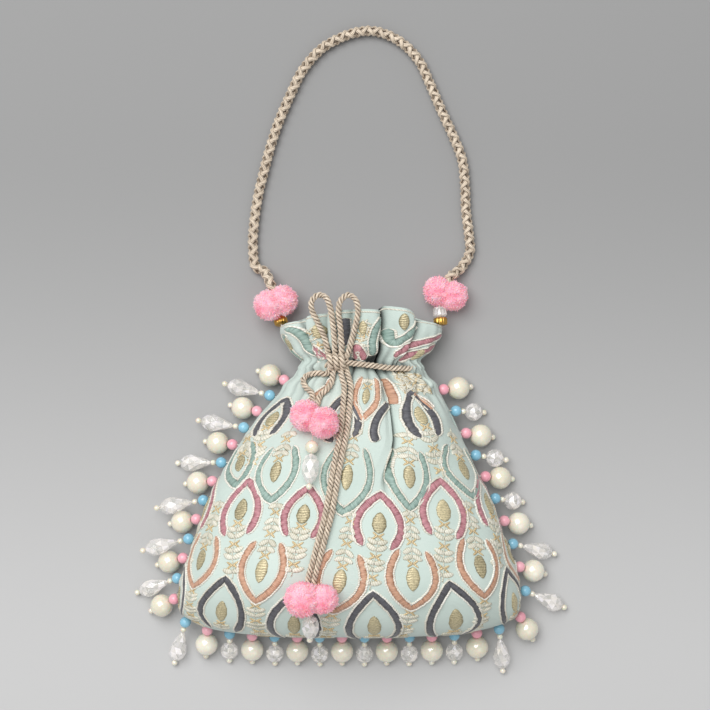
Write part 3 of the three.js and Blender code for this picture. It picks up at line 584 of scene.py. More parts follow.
# Each row of drops: its floss, its drops, and how far its vines run from the open end and from the point.
DROPS = [("charcoal", CHARCOAL_SIDE, 1.85, 0.0), ("charcoal", CHARCOAL_NECK, 1.0, 0.0),
         ("charcoal", CHARCOAL_LOW, 1.02, 0.0), ("sage", SAGE, 1.4, 0.0),
         ("rose", ROSE, 1.8, 0.0), ("copper", COPPER, 1.66, 1.4), ("copper", COPPER_HIGH, 1.0, 0.0)]
luck = np.random.default_rng(7)
satin, edging, leaves, cream, gold = {}, [], [], [], []


def sew_drops(cloth, drops, color, reach, tail=0.0):
    """Adds one row of drops to a cloth: the satin band bent round the point, its two edge cords, its leaf,
    and the vine that leaves its open end. reach and tail are how far vines run, in lengths of the drop from
    its point."""
    rows = cloth[1]
    s0, v0, s1, v1, wide = np.array(drops, float).T
    girth = np.interp((v0 + v1) / 2, rows["v"], rows["girth"])
    ax, ay = (s1 - s0) * girth, v1 - v0
    size = np.hypot(ax, ay)
    ax, ay = (ax / size)[:, None], (ay / size)[:, None]
    scale = girth / np.interp(v0, rows["v"], rows["girth"])

    def lay(a, b, w, h, profile, shift=0.0):
        """A rib by its distance a along the drop's axis and b to the side of it."""
        p, q = (a * ax - b * ay) / scale[:, None], a * ay + b * ax
        return stitched(cloth, s0, v0, p, q, w, h, profile, shift)

    k = np.linspace(-1, 1, 61)[None]
    t = np.abs(k)
    b = np.sign(k) * (wide[:, None] / 2 - BAND_INSET) * np.sin(0.8 * np.pi * t ** 0.88)
    a = t * size[:, None]
    band = DROP_BAND * np.sqrt(np.maximum(0, 1 - smooth(0.86, 1.0, t) ** 2)) + 0.1
    band = band * (1 + 0.07 * luck.standard_normal((len(drops), 61)))
    tone = luck.random(len(drops))
    satin.setdefault(color, []).append((*lay(a, b, band, BAND_HIGH, SATIN), tone))
    for way in (-1, 1):
        rib = lay(a, b, EDGE_HALF, EDGE_HIGH, CORDED, way * (band + EDGE_OUT))
        edging.append((*rib, luck.random(len(drops))))
    k = np.linspace(0, 1, 17)[None]
    leaf = LEAF_HALF * np.minimum(1, wide[:, None] / 20) * np.sin(np.pi * k ** 1.15) ** 0.5
    leaf = leaf * (1 + 0.035 * np.sin(21 * k + 7 * tone[:, None])) + 0.05
    a = (LEAF_START + LEAF_LONG * k) * size[:, None]
    leaves.append((*lay(a, 0 * a, leaf, BAND_HIGH, SATIN), luck.random(len(drops))))
    vines = [(VINE_START, reach, -1)] + ([(TAIL_START, -tail, 1)] if tail else [])
    for start, stop, point in vines:
        k = np.linspace(0, 1, 24)[None]
        a = (start + (stop - start) * k) * size[:, None]
        cream.append((*lay(a, 0.25 * np.sin(9 * k) + 0 * a, STEM_HALF, 0.5, CORDED), 0.4 + 0 * tone))
        for i, at in enumerate(np.arange(start, stop, -point * VINE_STEP / size.mean())):
            k = np.linspace(0, 1, 7)[None]
            bold = i % 3 != 0
            long, half = CREAM_PETAL if bold else GOLD_PETAL
            slants = [0.8 + 0.8 * (i % 3)] if bold else [1.7, -1.7]
            petal = half * np.sin(np.pi * (0.1 + 0.84 * k)) ** 0.6
            for way, slant in [(way, slant) for way in (-1, 1) for slant in slants]:
                a = at * size[:, None] + point * slant * k ** 1.4 + 0 * size[:, None]
                rib = lay(a, way * long * k + 0 * a, petal, PETAL_HIGH, CORDED)
                (cream if bold else gold).append((*rib, luck.random(len(drops))))


for color, drops, reach, tail in DROPS:
    sew_drops(FRONT_CLOTH, drops, color, reach, tail)
up, down = np.arange(-0.75, 0.8, 0.3), np.arange(-0.6, 0.7, 0.3)
# Each row on the back: its floss, the lengths up the cloth of the points and of the open ends, the places
# across, how far the vines run, and the width of a drop.
BACK_DROPS = [("charcoal", 52, 22, up, 1.02, 24), ("copper", 46, 74, down, 1.5, 24),
              ("rose", 98, 74, up, 1.5, 24), ("sage", 92, 118, down, 1.08, 24),
              ("charcoal", 139, 120, down, 1.02, 17)]
for color, v0, v1, row, reach, wide in BACK_DROPS:
    sew_drops(BACK_CLOTH, [[s, v0, s, v1, wide] for s in row], color, reach)

# Parts of drops that show on the frill and in the folds below the neck, as lines across the gathered cloth.
STROKES = {
    "sage": [[[-0.80, 192], [-0.71, 191], [-0.65, 184], [-0.645, 177], [-0.5, 170]],
             [[-0.82, 189], [-0.93, 180], [-0.87, 170.5]],
             [[0.235, 193], [0.15, 187], [0.11, 179], [0.15, 173]],
             [[0.322, 186.5], [0.328, 182.5], [0.36, 178], [0.46, 181], [0.56, 187], [0.61, 194]]],
    "rose": [[[-0.10, 171], [-0.055, 178], [0.06, 171]],
             [[0.40, 172], [0.52, 177], [0.72, 182], [0.93, 189]],
             [[0.55, 171], [0.66, 174], [0.8, 176], [0.93, 181]],
             [[-0.56, 171], [-0.52, 178], [-0.47, 171]]],
    "charcoal": [[[-0.17, 193], [-0.165, 186], [-0.2, 178]],
                 [[0.3, 147.5], [0.2, 143.5], [0.15, 138], [0.137, 132], [0.17, 127]]],
    "copper": [[[0.28, 161], [0.323, 157], [0.351, 151.5], [0.338, 146.5]],
               [[0.528, 153], [0.639, 148], [0.675, 143.8]],
               [[-0.3, 161], [-0.42, 152], [-0.5, 143]]],
}
FRILL_LEAVES = [[0.43, 185.5, 0.42, 194], [-0.88, 177, -0.84, 186], [-0.45, 183, -0.44, 191],
                [0.02, 184, 0.02, 191], [0.72, 171, 0.74, 177]]
FRILL_LEAF_HALF, HEM_STITCH, HEM_INSET, HEM_GIRTH = 2.3, 0.4, 1.4, 52
CREAM_STITCH, GOLD_STITCH = 0.65, 0.45
# Patches of loose stitches: their thread, how many, and the stretch across and up the cloth they fill.
PATCHES = [(cream, 110, 0.4, 0.74, 153, 164), (gold, 36, 0.4, 0.74, 153, 164),
           (cream, 22, -0.6, -0.44, 178, 190), (gold, 12, -0.58, -0.42, 176, 188),
           (cream, 16, -0.03, 0.08, 177, 191), (gold, 10, -0.03, 0.08, 178, 190)]


def along_points(points, n):
    """n points evenly along a broken line, with its corners softened."""
    points = np.asarray(points, float)
    run = np.concatenate([[0], np.cumsum(np.hypot(40 * np.diff(points[:, 0]), np.diff(points[:, 1])))])
    want = np.linspace(0, run[-1], n)
    spread = np.linspace(-0.09, 0.09, 9) * run[-1]
    taken = np.clip(want[:, None] + spread, 0, run[-1])
    return np.stack([np.interp(taken, run, points[:, i]).mean(1) for i in (0, 1)], -1)


for color, lines in STROKES.items():
    spots = np.stack([along_points(line, 31) for line in lines])
    s0, v0 = spots[:, 15, 0], spots[:, 15, 1]
    p = (spots[..., 0] - s0[:, None]) * np.interp(v0, front_rows["v"], front_rows["girth"])[:, None]
    q = spots[..., 1] - v0[:, None]
    t = np.abs(np.linspace(-1, 1, 31))[None]
    band = STROKE_BAND * np.sqrt(np.maximum(0, 1 - smooth(0.8, 1.0, t) ** 2)) + 0.1
    tone = luck.random(len(lines))
    satin[color].append((*stitched(FRONT_CLOTH, s0, v0, p, q, band, BAND_HIGH, SATIN), tone))
    for way in (-1, 1):
        rib = stitched(FRONT_CLOTH, s0, v0, p, q, EDGE_HALF, EDGE_HIGH, CORDED, way * (band + EDGE_OUT))
        edging.append((*rib, luck.random(len(lines))))
s0, v0, s1, v1 = np.array(FRILL_LEAVES).T
k = np.linspace(0, 1, 17)[None]
p, q = (s1 - s0)[:, None] * 45 * k, (v1 - v0)[:, None] * k
leaf = FRILL_LEAF_HALF * np.sin(np.pi * k) ** 0.55 + 0.05
leaves.append((*stitched(FRONT_CLOTH, s0, v0, p, q, leaf, 0.8, SATIN), luck.random(len(s0))))
k = np.linspace(-1, 1, 7)[None]
for batch, count, s0, s1, v0, v1 in PATCHES:
    bunch = luck.random((count, 3)) * (s1 - s0, v1 - v0, 2 * np.pi) + (s0, v0, 0)
    p, q = (1.6 * wave(bunch[:, 2:]) * k for wave in (np.cos, np.sin))
    fat = (CREAM_STITCH if batch is cream else GOLD_STITCH) * np.sqrt(1 - 0.9 * k * k)
    rib = stitched(FRONT_CLOTH, bunch[:, 0], bunch[:, 1], p, q, fat, PETAL_HIGH, CORDED)
    batch.append((*rib, luck.random(count)))
hem = np.linspace(-0.98, 0.98, 240)[None] * HEM_GIRTH
hem_v = front_rows["v"][-1] - HEM_INSET
rib = stitched(FRONT_CLOTH, 0.0, hem_v, hem, 0 * hem, HEM_STITCH, HEM_STITCH, CORDED)
edging.append((*rib, [0.0]))


def sewn_piece(name, batches, material):
    """One piece of all the stitches in one thread."""
    made = mesh_piece(name, *joined([tubes(*batch) for batch in batches]))
    return dress(made, material, "embroidered_cloth")


thread_colors = {"sage": ((74, 102, 93), (172, 197, 187)), "rose": ((110, 56, 64), (218, 157, 165)),
                 "copper": ((130, 84, 60), (228, 182, 153)), "charcoal": ((30, 31, 34), (106, 106, 112))}
sewn_on = []
for color, (dark, light) in thread_colors.items():
    floss, shader, place, flat = finish(f"{color}_floss", {"Roughness": 0.42, "Sheen Weight": 0.3,
                                                           "Sheen Roughness": 0.35})
    _, over, _ = flat.axes()
    fine = flat.stretched((2.4, 0.35, 1.0)).noise(1.0, 1.0)
    wide = flat.stretched((0.7, 0.3, 1.0)).noise(1.0, 1.0)
    # Lighter along the middle of each band: a painted highlight on its crown.
    share = fine * 1.5 + wide * 0.9 + (1 - over * over) * 0.25 + tone_of(shader) * 0.15 - 0.9
    wear(shader, share.between(srgb(*dark), srgb(*light)), 0.3 + fine * 0.25, fine, 0.00045)
    sewn_on.append(sewn_piece(f"satin_stitch_{color}", satin[color], floss))


def sewn_thread(name, batches, dark, light, plain, turns, stray, rim, grain=380.0, depth=0.00015,
                mix=(0.35, 0.6, 0.25)):
    """A piece of sewn cord or leaf: stripes along its length are the turns of its thread, bent by a stray
    share, and its two sides are darker by a rim share, painted shade where the thread turns down into the
    cloth. Its colour is mottled at a grain, in spots to the metre, and mix holds the shares of the stripes,
    of the grain and of the one stitch's own tone."""
    made, shader, place, flat = finish(name, plain)
    length, over, _ = flat.axes()
    strand = (length * turns + over * 1.5 + place.noise(300.0) * stray).math("SINE") * 0.5 + 0.5
    speck = place.noise(grain)
    # The sides are darkened by the rim share: painted shade where the thread turns down into the cloth.
    share = strand * mix[0] + speck * mix[1] + tone_of(shader) * mix[2] - over ** 4.0 * rim - 0.05
    wear(shader, share.between(srgb(*dark), srgb(*light)), None, strand + speck, depth)
    return sewn_piece(name, batches, made)


sewn_on += [
    sewn_thread("edge_cord", edging, (186, 178, 154), (255, 254, 248), {"Roughness": 0.4}, 5.0, 4.0, 0.1),
    sewn_thread("ribbon_leaves", leaves, (60, 50, 22), (232, 219, 178), {"Roughness": 0.4, "Metallic": 0.25},
                5.2, 9.0, 0.3, 1300.0, 0.00012, (0.18, 0.9, 0.25)),
    sewn_thread("vine_cream", cream, (172, 168, 142), (248, 245, 232), {"Roughness": 0.45}, 6.0, 2.0, 0.5),
    sewn_thread("vine_gold", gold, (176, 150, 104), (246, 226, 184), {"Roughness": 0.4, "Metallic": 0.3},
                6.0, 2.0, 0.3)]

# Drawstring: a twisted champagne cord of three strands, run round the neck and tied in front in a bow with
# two loops that lie on the frill. Its two short and two long ends hang from the knot over the front.
DORI, DORI_FULLER, DORI_LEAD, DORI_STEP = 3.0, 1.05, 6.3, 0.4
KNOT, KNOT_BALL, KNOT_HALF, KNOT_OFF = np.array([-6.0, 79.2]), 4.3, 4.4, 5.8
CELL, CELLS, PLAN_CORNER = 0.5, (480, 400), np.array([120, 70])
UP = (0.0, 0.0, 1.0)
AROUND, UNDER_Z, SHORTEST_FREE = 1.7, 2.4, 30.0
grid_s, grid_v = np.meshgrid(np.linspace(-1, 1, 900), np.linspace(0, front_rows["v"][-1], 900),
                             indexing="ij")
cloth_points = front(grid_s, grid_v).reshape(-1, 3)
cells = np.zeros(CELLS)
spots = ((cloth_points[:, :2] + PLAN_CORNER) / CELL).astype(int)
np.maximum.at(cells, (spots[:, 0], spots[:, 1]), cloth_points[:, 2])
ring = np.linspace(0, 2 * np.pi, 16, endpoint=False)
circle = np.stack([np.cos(ring), np.sin(ring)], -1)
DISC = np.concatenate([[[0, 0]], *[f * circle for f in (0.35, 0.65, 0.9)]])


def rest_height(x, y, radius):
    """Lowest centre height at which a ball of this radius clears the front cloth at a spot in plan."""
    at = np.stack([x, y], -1)[..., None, :] + radius * DISC
    spot = np.clip(((at + PLAN_CORNER) / CELL).astype(int), 0, np.array(CELLS) - 1)
    lift = radius * np.sqrt(1 - (DISC ** 2).sum(-1))
    return (cells[spot[..., 0], spot[..., 1]] + lift).max(-1)


def lengths(line):
    """Distance along a line at each of its points."""
    return np.concatenate([[0], np.cumsum(np.linalg.norm(np.diff(line, axis=0), axis=1))])


def line_length(line):
    """A line's length from end to end."""
    return float(lengths(line)[-1])


def spaced_line(line, step):
    """The same line with its points evenly apart, about one step."""
    run = lengths(line)
    want = np.linspace(0, run[-1], max(3, int(run[-1] / step) + 1))
    return np.stack([np.interp(want, run, line[:, i]) for i in range(line.shape[1])], -1)


def laid_line(points, step):
    """A smooth line through given points, sampled evenly: a Catmull-Rom curve with centripetal knots."""
    p = np.asarray(points, float)
    p = np.concatenate([2 * p[:1] - p[1:2], p, 2 * p[-1:] - p[-2:-1]])
    gap = np.sqrt(np.linalg.norm(np.diff(p, axis=0), axis=1))[:, None]
    a, b, c, d = p[:-3], p[1:-2], p[2:-1], p[3:]
    g0, g1, g2 = gap[:-2], gap[1:-1], gap[2:]
    m1 = ((b - a) / g0 - (c - a) / (g0 + g1) + (c - b) / g1) * g1
    m2 = ((c - b) / g1 - (d - b) / (g1 + g2) + (d - c) / g2) * g1
    t = np.linspace(0, 1, 60, endpoint=False)[None, :, None]
    b, c, m1, m2 = b[:, None], c[:, None], m1[:, None], m2[:, None]
    line = b + m1 * t + (3 * (c - b) - 2 * m1 - m2) * t ** 2 + (2 * (b - c) + m1 + m2) * t ** 3
    return spaced_line(np.concatenate([line.reshape(-1, p.shape[1]), p[-2:-1]]), step)


def laid_on_cloth(points, limit=200.0):
    """A cord's line in plan, laid on the cloth: as high as the cloth asks, with the cord's own stiffness
    smoothing it. Beyond the limit in y it takes the cloth's height at the limit."""
    line = laid_line(points, 0.5)
    need = rest_height(line[:, 0], np.minimum(line[:, 1], limit), DORI / 2)
    window = np.hanning(15)
    soft = np.convolve(np.pad(need, 7, mode="edge"), window / window.sum(), "valid")
    return spaced_line(np.column_stack([line, np.maximum(soft, need - 0.15) + 0.1]), DORI_STEP)


def frames(line, ref):
    """Two directions across a line at each of its points, the first square to ref."""
    t = np.gradient(line, axis=0)
    side = np.cross(t, ref)
    side /= np.maximum(np.linalg.norm(side, axis=1, keepdims=True), 1e-9)
    over = np.cross(side, t)
    return side, over / np.linalg.norm(over, axis=1, keepdims=True)


def twisted(line, ref, diameter, lead, strands=3, sides=9):
    """A laid rope along a line: strands wind round it once in each lead, each a round tube that touches the
    next."""
    side, over = frames(line, np.asarray(ref, float))
    length = lengths(line)
    turn = 2 * np.pi * (length / lead + np.arange(strands)[:, None] / strands)
    thick = 0.252 * diameter
    away = diameter / 2 - thick
    way = np.cos(turn)[..., None] * side + np.sin(turn)[..., None] * over
    beta = turn[..., None] + np.linspace(-np.pi, np.pi, sides)
    ring = np.cos(beta)[..., None] * side[None, :, None] + np.sin(beta)[..., None] * over[None, :, None]
    rings = (line + away * way)[:, :, None] + thick * ring
    uv = np.stack([length[None, :, None] + 0 * beta, np.linspace(-1, 1, sides) + 0 * beta], -1)
    return rings, uv, np.linspace(0.2, 0.8, strands)


dori, shader, place, flat = finish("champagne_cord", {"Roughness": 0.42, "Sheen Weight": 0.35,
                                                      "Sheen Roughness": 0.3})
length, over, _ = flat.axes()
yarn = (over * 15.7 + length * 2.4).math("SINE") * 0.5 + 0.5
# The sides of each strand are darker: painted shade in the grooves between the strands.
share = 0.3 + yarn * 0.3 + place.noise(300.0) * 0.4 + tone_of(shader) * 0.3 - over * over * 1.35
wear(shader, share.between(srgb(86, 64, 44), srgb(246, 229, 206)), 0.32 + yarn * 0.2, yarn, 0.00012)


def dori_piece(name, line, ref, node):
    """A piece of drawstring along a line, with the direction that its section is set out from. It is drawn
    a little fuller than the cord's size, because its lobes reach that size only here and there."""
    made = mesh_piece(name, *joined([tubes(*twisted(line, ref, DORI_FULLER * DORI, DORI_LEAD))]))
    return dress(made, dori, "drawstring_cord", node)


def ring_front(x, sunk=0.0):
    """A point of the neck line over the front cloth, sunk into the cloth where the gathers close over the
    cord."""
    share = np.clip((x - NECK_X) / NECK_HALF, -1, 1)
    angle = np.degrees(np.arccos(-np.sign(share) * np.abs(share) ** (ARCH / 2)))
    rise = (NECK_RISE + AROUND) * float(oval((x - NECK_X) / (NECK_HALF + AROUND), ARCH))
    return [x, float(cord_y(angle)), SEAM_Z - sunk + rise]


RIGHT, LEFT = NECK_X + NECK_HALF + AROUND, NECK_X - NECK_HALF - AROUND
knot_z = float(rest_height(KNOT[0], KNOT[1], KNOT_BALL))
neck_line = laid_line([
    [KNOT[0] + 1.2, KNOT[1], knot_z - 0.4], ring_front(3.5), ring_front(9.7), ring_front(19.5),
    ring_front(27.34), ring_front(32.38), [RIGHT, 76, 12], [RIGHT, 76.3, 7], [31.54, 76.6, UNDER_Z],
    [25.1, 77, UNDER_Z], [5.5, 77, UNDER_Z], [-14.1, 77, UNDER_Z], [-20.54, 76.6, UNDER_Z], [LEFT, 76.3, 7],
    [LEFT, 76, 12], ring_front(-21.38, 1.2), ring_front(-16.9, 1.8), ring_front(-13, 1.6),
    [KNOT[0] - 1.2, KNOT[1], knot_z - 0.4]], DORI_STEP)
dori_piece("neck_cord", neck_line, (0.0, 1.0, 0.0), "neck_drawstring")

wind = np.linspace(0, 6 * np.pi, 240)
wraps = np.stack([KNOT[0] - KNOT_HALF + 2 * KNOT_HALF * wind / wind[-1], KNOT[1] + 2.9 * np.cos(wind),
                  knot_z + 2.8 * np.sin(wind)], -1)
dori_piece("bow_knot_wraps", spaced_line(wraps, 0.35), (1.0, 0.0, 0.0), "bow_knot")

# Loops and ends by their points in plan, from a spot just above or below the middle of the knot.
LOOPS = {
    "left": [[-3.6, -4.6], [-4.9, 0], [-6.8, 7], [-10.2, 14.5], [-12.7, 20], [-12.5, 24], [-9.6, 26.8],
             [-6, 25.8], [-4, 22], [-2.6, 15], [-1.8, 8], [-1.3, 0], [-1.2, -4.6]],
    "right": [[1.6, -4.6], [2, 0], [1.4, 10], [0.5, 18.5], [1.2, 23.6], [5, 26.9], [8.9, 24.2], [9.9, 19],
              [8.4, 10.5], [5.6, 0], [3.9, -4.6]],
}
ENDS = {
    "short_left": [[-3, 4.4], [-5.6, 0], [-9, 0.2], [-12.5, -0.2], [-15.4, -1.2], [-17, -3.2], [-16.4, -5.6],
                   [-14.8, -7.6], [-12.8, -9.4], [-11.5, -15.9]],
    "short_right": [[-1.4, 4.4], [-2.4, 0], [-2.8, -3.6], [-5, -7.4], [-8.4, -10.4], [-10.2, -16.4]],
    "long_left": [[1.2, 4.4], [1.6, 0], [3.15, -6], [2.85, -13], [1.65, -27], [-1.75, -44], [-5.75, -67],
                  [-8.95, -79], [-12.15, -91], [-13.75, -97.5], [-13.8, -102.4]],
    "long_right": [[3.6, 4.4], [4.8, 0], [6.35, -6], [6.05, -13], [4.65, -27], [1.25, -44], [-2.75, -67],
                   [-5.95, -79], [-9.15, -91], [-10.75, -97.5], [-11, -102.4]],
}
for name, loop in LOOPS.items():
    line = laid_on_cloth(np.array(loop) + KNOT + (0, KNOT_OFF), HEM_Y + 4)
    made = dori_piece(f"loop_{name}", line, UP, f"bow_loop_{name}")
    line[0] / 1000
    line / 1000
free_ends = []
for name, tail in ENDS.items():
    line = laid_on_cloth(np.array(tail) + KNOT - (0, KNOT_OFF))
    made = dori_piece(f"end_{name}", line, UP, f"tail_{name}")
    if line_length(line) > SHORTEST_FREE:
        free_ends.append((name, made, line))

# Tassels: a pair of wool pom-poms on each end of the drawstring. Under the short one hang a pearl, a cut
# crystal drop and a seed pearl, under the long one a crystal drop and a seed pearl, on one thread that lies
# down the slope.
YARN_ENDS, YARN_SEED = 3300, 40
SHORT_POMS, LONG_POMS = ((-21.3, 53.5, 7.6), (-12.6, 50.0, 7.6)), ((-22.2, -32.7, 8.8), (-12.6, -32.7, 7.2))
TASSEL_PEARL, TASSEL_DROP, SEED, THREAD = 6.5, (4.4, 15), 3.0, 0.3
# The wool glows faintly in its own colour, painted light that stands in for light scattered through the
# yarn. It is darker towards the roots of the yarn ends and, through tone, in the dips between tufts: painted
# shade.
wool, shader, place, flat = finish("pink_wool", {
    "Roughness": 0.95, "Sheen Weight": 0.4, "Sheen Roughness": 0.4, "Sheen Tint": (1.0, 0.6, 0.7, 1.0),
    "Subsurface Weight": 0.5, "Subsurface Scale": 0.004, "Emission Strength": 0.14})
root, _, _ = flat.axes()
share = tone_of(shader) * 0.8 + place.noise(500.0) * 0.15 + root * 0.1 - 0.05
wool_with_painted_shade = share.between(srgb(251, 122, 149), srgb(255, 210, 218))
wear(shader, wool_with_painted_shade, None, place.noise(1500.0), 0.0001)
shader.id_data.links.new(wool_with_painted_shade.socket, shader.inputs["Emission Color"])


def yarn_lumps(way, seed):
    """Tufts of a wound ball as a number round 0 for each direction: the sum of waves in random
    directions."""
    chance = np.random.default_rng(seed + YARN_SEED)
    waves = chance.standard_normal((3, 24)) * np.linspace(3, 9, 24)
    return np.sin(way @ waves + 2 * np.pi * chance.random(24)).sum(-1) / 6


def yarn_ends(centre, r, seed, chance):
    """A part of cut yarn ends spread evenly over a ball, each a three-sided spike of two lengths that
    starts inside the core and leans a little at random."""
    i = np.arange(YARN_ENDS) + 0.5
    polar, around = np.arccos(1 - 2 * i / YARN_ENDS), np.pi * (1 + 5 ** 0.5) * i
    way = np.stack([np.sin(polar) * np.cos(around), np.sin(polar) * np.sin(around), np.cos(polar)], -1)
    way += 0.05 * chance.standard_normal((YARN_ENDS, 3))
    way /= np.linalg.norm(way, axis=1, keepdims=True)
    lean = 0.16 * chance.standard_normal((YARN_ENDS, 3))
    tuft = yarn_lumps(way, seed)
    tip = r * (0.96 + 0.045 * tuft + 0.045 * chance.standard_normal(YARN_ENDS))[:, None]
    side = np.cross(way, chance.standard_normal((YARN_ENDS, 3)))
    side /= np.linalg.norm(side, axis=1, keepdims=True)
    third = np.cross(way, side)
    corner = np.linspace(0, 2 * np.pi, 3, endpoint=False)
    ring = np.cos(corner)[:, None, None] * side + np.sin(corner)[:, None, None] * third
    low = centre + 0.78 * r * way + 0.3 * ring
    mid = centre + 0.94 * tip * way + 0.08 * r * lean + 0.34 * ring
    top = centre + tip * way + 0.2 * r * lean
    spike = np.concatenate([low, mid, top[None]]).transpose(1, 0, 2)
    ids = np.arange(YARN_ENDS * 7).reshape(YARN_ENDS, 7)
    edges = ((0, 1), (1, 2), (2, 0))
    faces = [ids[:, [a, b, b + 3, a + 3]] for a, b in edges]
    faces += [ids[:, [a + 3, b + 3, 6]] for a, b in edges] + [ids[:, [2, 1, 0]]]
    uv = np.tile([[0, 0], [0, 0], [0, 0], [0.6, 0], [0.6, 0], [0.6, 0], [1, 0]], (YARN_ENDS, 1))
    # Ends on the tufts that stand out get a higher tone than those in the dips, which the wool paints darker
    # as painted shade; part of the tone is random.
    tone = np.clip(0.55 + 0.28 * tuft + 0.09 * chance.standard_normal(YARN_ENDS), 0, 1)
    return spike.reshape(-1, 3), faces, uv, np.repeat(tone, 7)


def yarn_core(centre, r, seed):
    """A part for the lumpy ball under the yarn ends, with the same tufts."""
    around, polar = np.linspace(0, 2 * np.pi, 33)[:-1], np.linspace(0.04, np.pi - 0.04, 17)
    u, v = np.meshgrid(around, polar, indexing="ij")
    ball = np.stack([np.sin(v) * np.cos(u), np.sin(v) * np.sin(u), np.cos(v)], -1)
    tuft = yarn_lumps(ball, seed)
    ids = np.arange(u.size).reshape(u.shape)
    near = np.roll(ids, -1, axis=0)
    sides = np.stack([ids[:, :-1], ids[:, 1:], near[:, 1:], near[:, :-1]], -1).reshape(-1, 4)
    points = (centre + r * (0.91 + 0.04 * tuft[..., None]) * ball).reshape(-1, 3)
    # The core's tone follows the same tufts: painted shade in the dips between them.
    tone = np.clip(0.5 + 0.28 * tuft, 0, 1).ravel()
    return points, [sides, ids[:, 0][None], ids[::-1, -1][None]], np.zeros((u.size, 2)) + (0.45, 0), tone


def pompom(name, balls, seed, node):
    """A pair of pom-poms, each a core hidden under thousands of yarn ends."""
    chance = np.random.default_rng(seed)
    parts = []
    for x, y, z, r in balls:
        centre = np.array([x, y, z])
        parts += [yarn_ends(centre, r, seed, chance), yarn_core(centre, r, seed)]
    return dress(mesh_piece(name, *joined(parts)), wool, "pompom_yarn", node)


balls = {kind: [(x, y, float(rest_height(x, y, r)) + 0.2, r) for x, y, r in pair]
         for kind, pair in (("short", SHORT_POMS), ("long", LONG_POMS))}
poms = {kind: pompom(f"{kind}_pompoms", balls[kind], seed, f"tassel_{kind}_pompoms")
        for kind, seed in (("short", 3), ("long", 4))}
for name, made, line in free_ends:
    line[0] / 1000
    line / 1000


def node_axis(name, inside):
    """The axis of a turned solid, as its two ends: the long direction of its points, from the end nearer to
    inside."""
    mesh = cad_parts[name].data
    co = np.zeros(len(mesh.vertices) * 3, np.float32)
    mesh.vertices.foreach_get("co", co)
    co = 1000 * co.reshape(-1, 3).astype(float)
    way = np.linalg.svd(co - co.mean(0), full_matrices=False)[2][0]
    reach = (co - co.mean(0)) @ way
    ends = co.mean(0) + np.outer([reach.min(), reach.max()], way)
    return ends if np.linalg.norm(ends[0] - inside) < np.linalg.norm(ends[1] - inside) else ends[::-1]


def turned(ends, start, profile, sides, twist=0.0, roll=0.0):
    """A bead on an axis: profile rows are radius and height from start, carried round the axis. Each ring
    may be twisted half a step against the last, which makes cut facets."""
    a, b = np.asarray(ends, float)
    way = (b - a) / np.linalg.norm(b - a)
    side = np.cross(way, (0.13, 0.21, 1.0))
    side /= np.linalg.norm(side)
    third = np.cross(way, side)
    r, h = np.asarray(profile, float).T
    step = 2 * np.pi / sides
    turn = roll + step * np.arange(sides)[None] + step * twist * (np.arange(len(r)) % 2)[:, None]
    ring = r[:, None, None] * (np.cos(turn)[..., None] * side + np.sin(turn)[..., None] * third)
    return a + way * (start + h)[:, None, None] + ring


def bead_mesh(name, beads, cut=False):
    """Many turned beads as one mesh: rings of each joined by four-sided faces, or by two flat facets where
    the beads are cut, and closed at both ends. tone is one number for each bead, or for each facet of a cut
    one."""
    chance = np.random.default_rng(len(beads))
    parts = []
    for rings in beads:
        n, m = rings.shape[:2]
        ids = np.arange(n * m).reshape(n, m)
        near = np.roll(ids, -1, axis=1)
        a, b, c, d = ids[:-1], near[:-1], near[1:], ids[1:]
        if cut:
            odd = (np.arange(n - 1) % 2 == 1)[:, None]
            sides = [np.stack([a, b, np.where(odd, c, d)], -1).reshape(-1, 3),
                     np.stack([np.where(odd, a, b), c, d], -1).reshape(-1, 3)]
        else:
            sides = [np.stack([a, b, c, d], -1).reshape(-1, 4)]
        uv = np.stack(np.meshgrid(np.linspace(0, 1, m), np.linspace(0, 1, n)), -1).reshape(-1, 2)
        parts.append((rings.reshape(-1, 3), [*sides, ids[[0, -1]]], uv, np.full(n * m, chance.random())))
    points, faces, uv, tone = joined(parts)
    if cut:
        tone = chance.random(sum(len(f) for f in faces))
    return mesh_piece(name, points, faces, uv, tone, flat=cut)


def round_bead(diameter, rows):
    """Profile of a drilled round bead: a sphere that dips into its hole at both ends."""
    t = np.linspace(0.14, np.pi - 0.14, rows)
    r, h = diameter / 2 * np.sin(t), diameter / 2 * (1 - np.cos(t))
    dip = 0.06 * diameter
    ends = [[[0.4 * r[0], h[0] + dip]], np.column_stack([r, h]), [[0.4 * r[0], h[-1] - dip]]]
    return np.concatenate(ends)


def strung(ends, start, long, half, sides):
    """A plain stretch of thread on an axis."""
    return turned(ends, start, [[half, 0.0], [half, long]], sides)


def seed_pearl(ends, start):
    """One small pearl on an axis."""
    return turned(ends, start, round_bead(SEED, 9), 14)


TASSEL_CUT = np.array([[0.14, 0.0], [0.62, 0.1], [0.9, 0.26], [1.0, 0.45], [0.86, 0.7], [0.62, 0.87],
                       [0.2, 1.0]])
pearls, seeds, crystals, threads = [], [], [], []
for kind in balls:
    ends = node_axis(f"tassel_{kind}_drop", np.array(balls[kind][0][:3]))
    at = 0.0
    if kind == "short":
        pearls.append(turned(ends, at, round_bead(TASSEL_PEARL, 13), 24))
        at = TASSEL_PEARL
    crystals.append(turned(ends, at, TASSEL_CUT * TASSEL_DROP, 8, 0.5, 0.2))
    seeds.append(seed_pearl(ends, at + TASSEL_DROP[1]))
    threads.append(strung(ends, -3.0, 3 + at + 17.6, THREAD, 6))

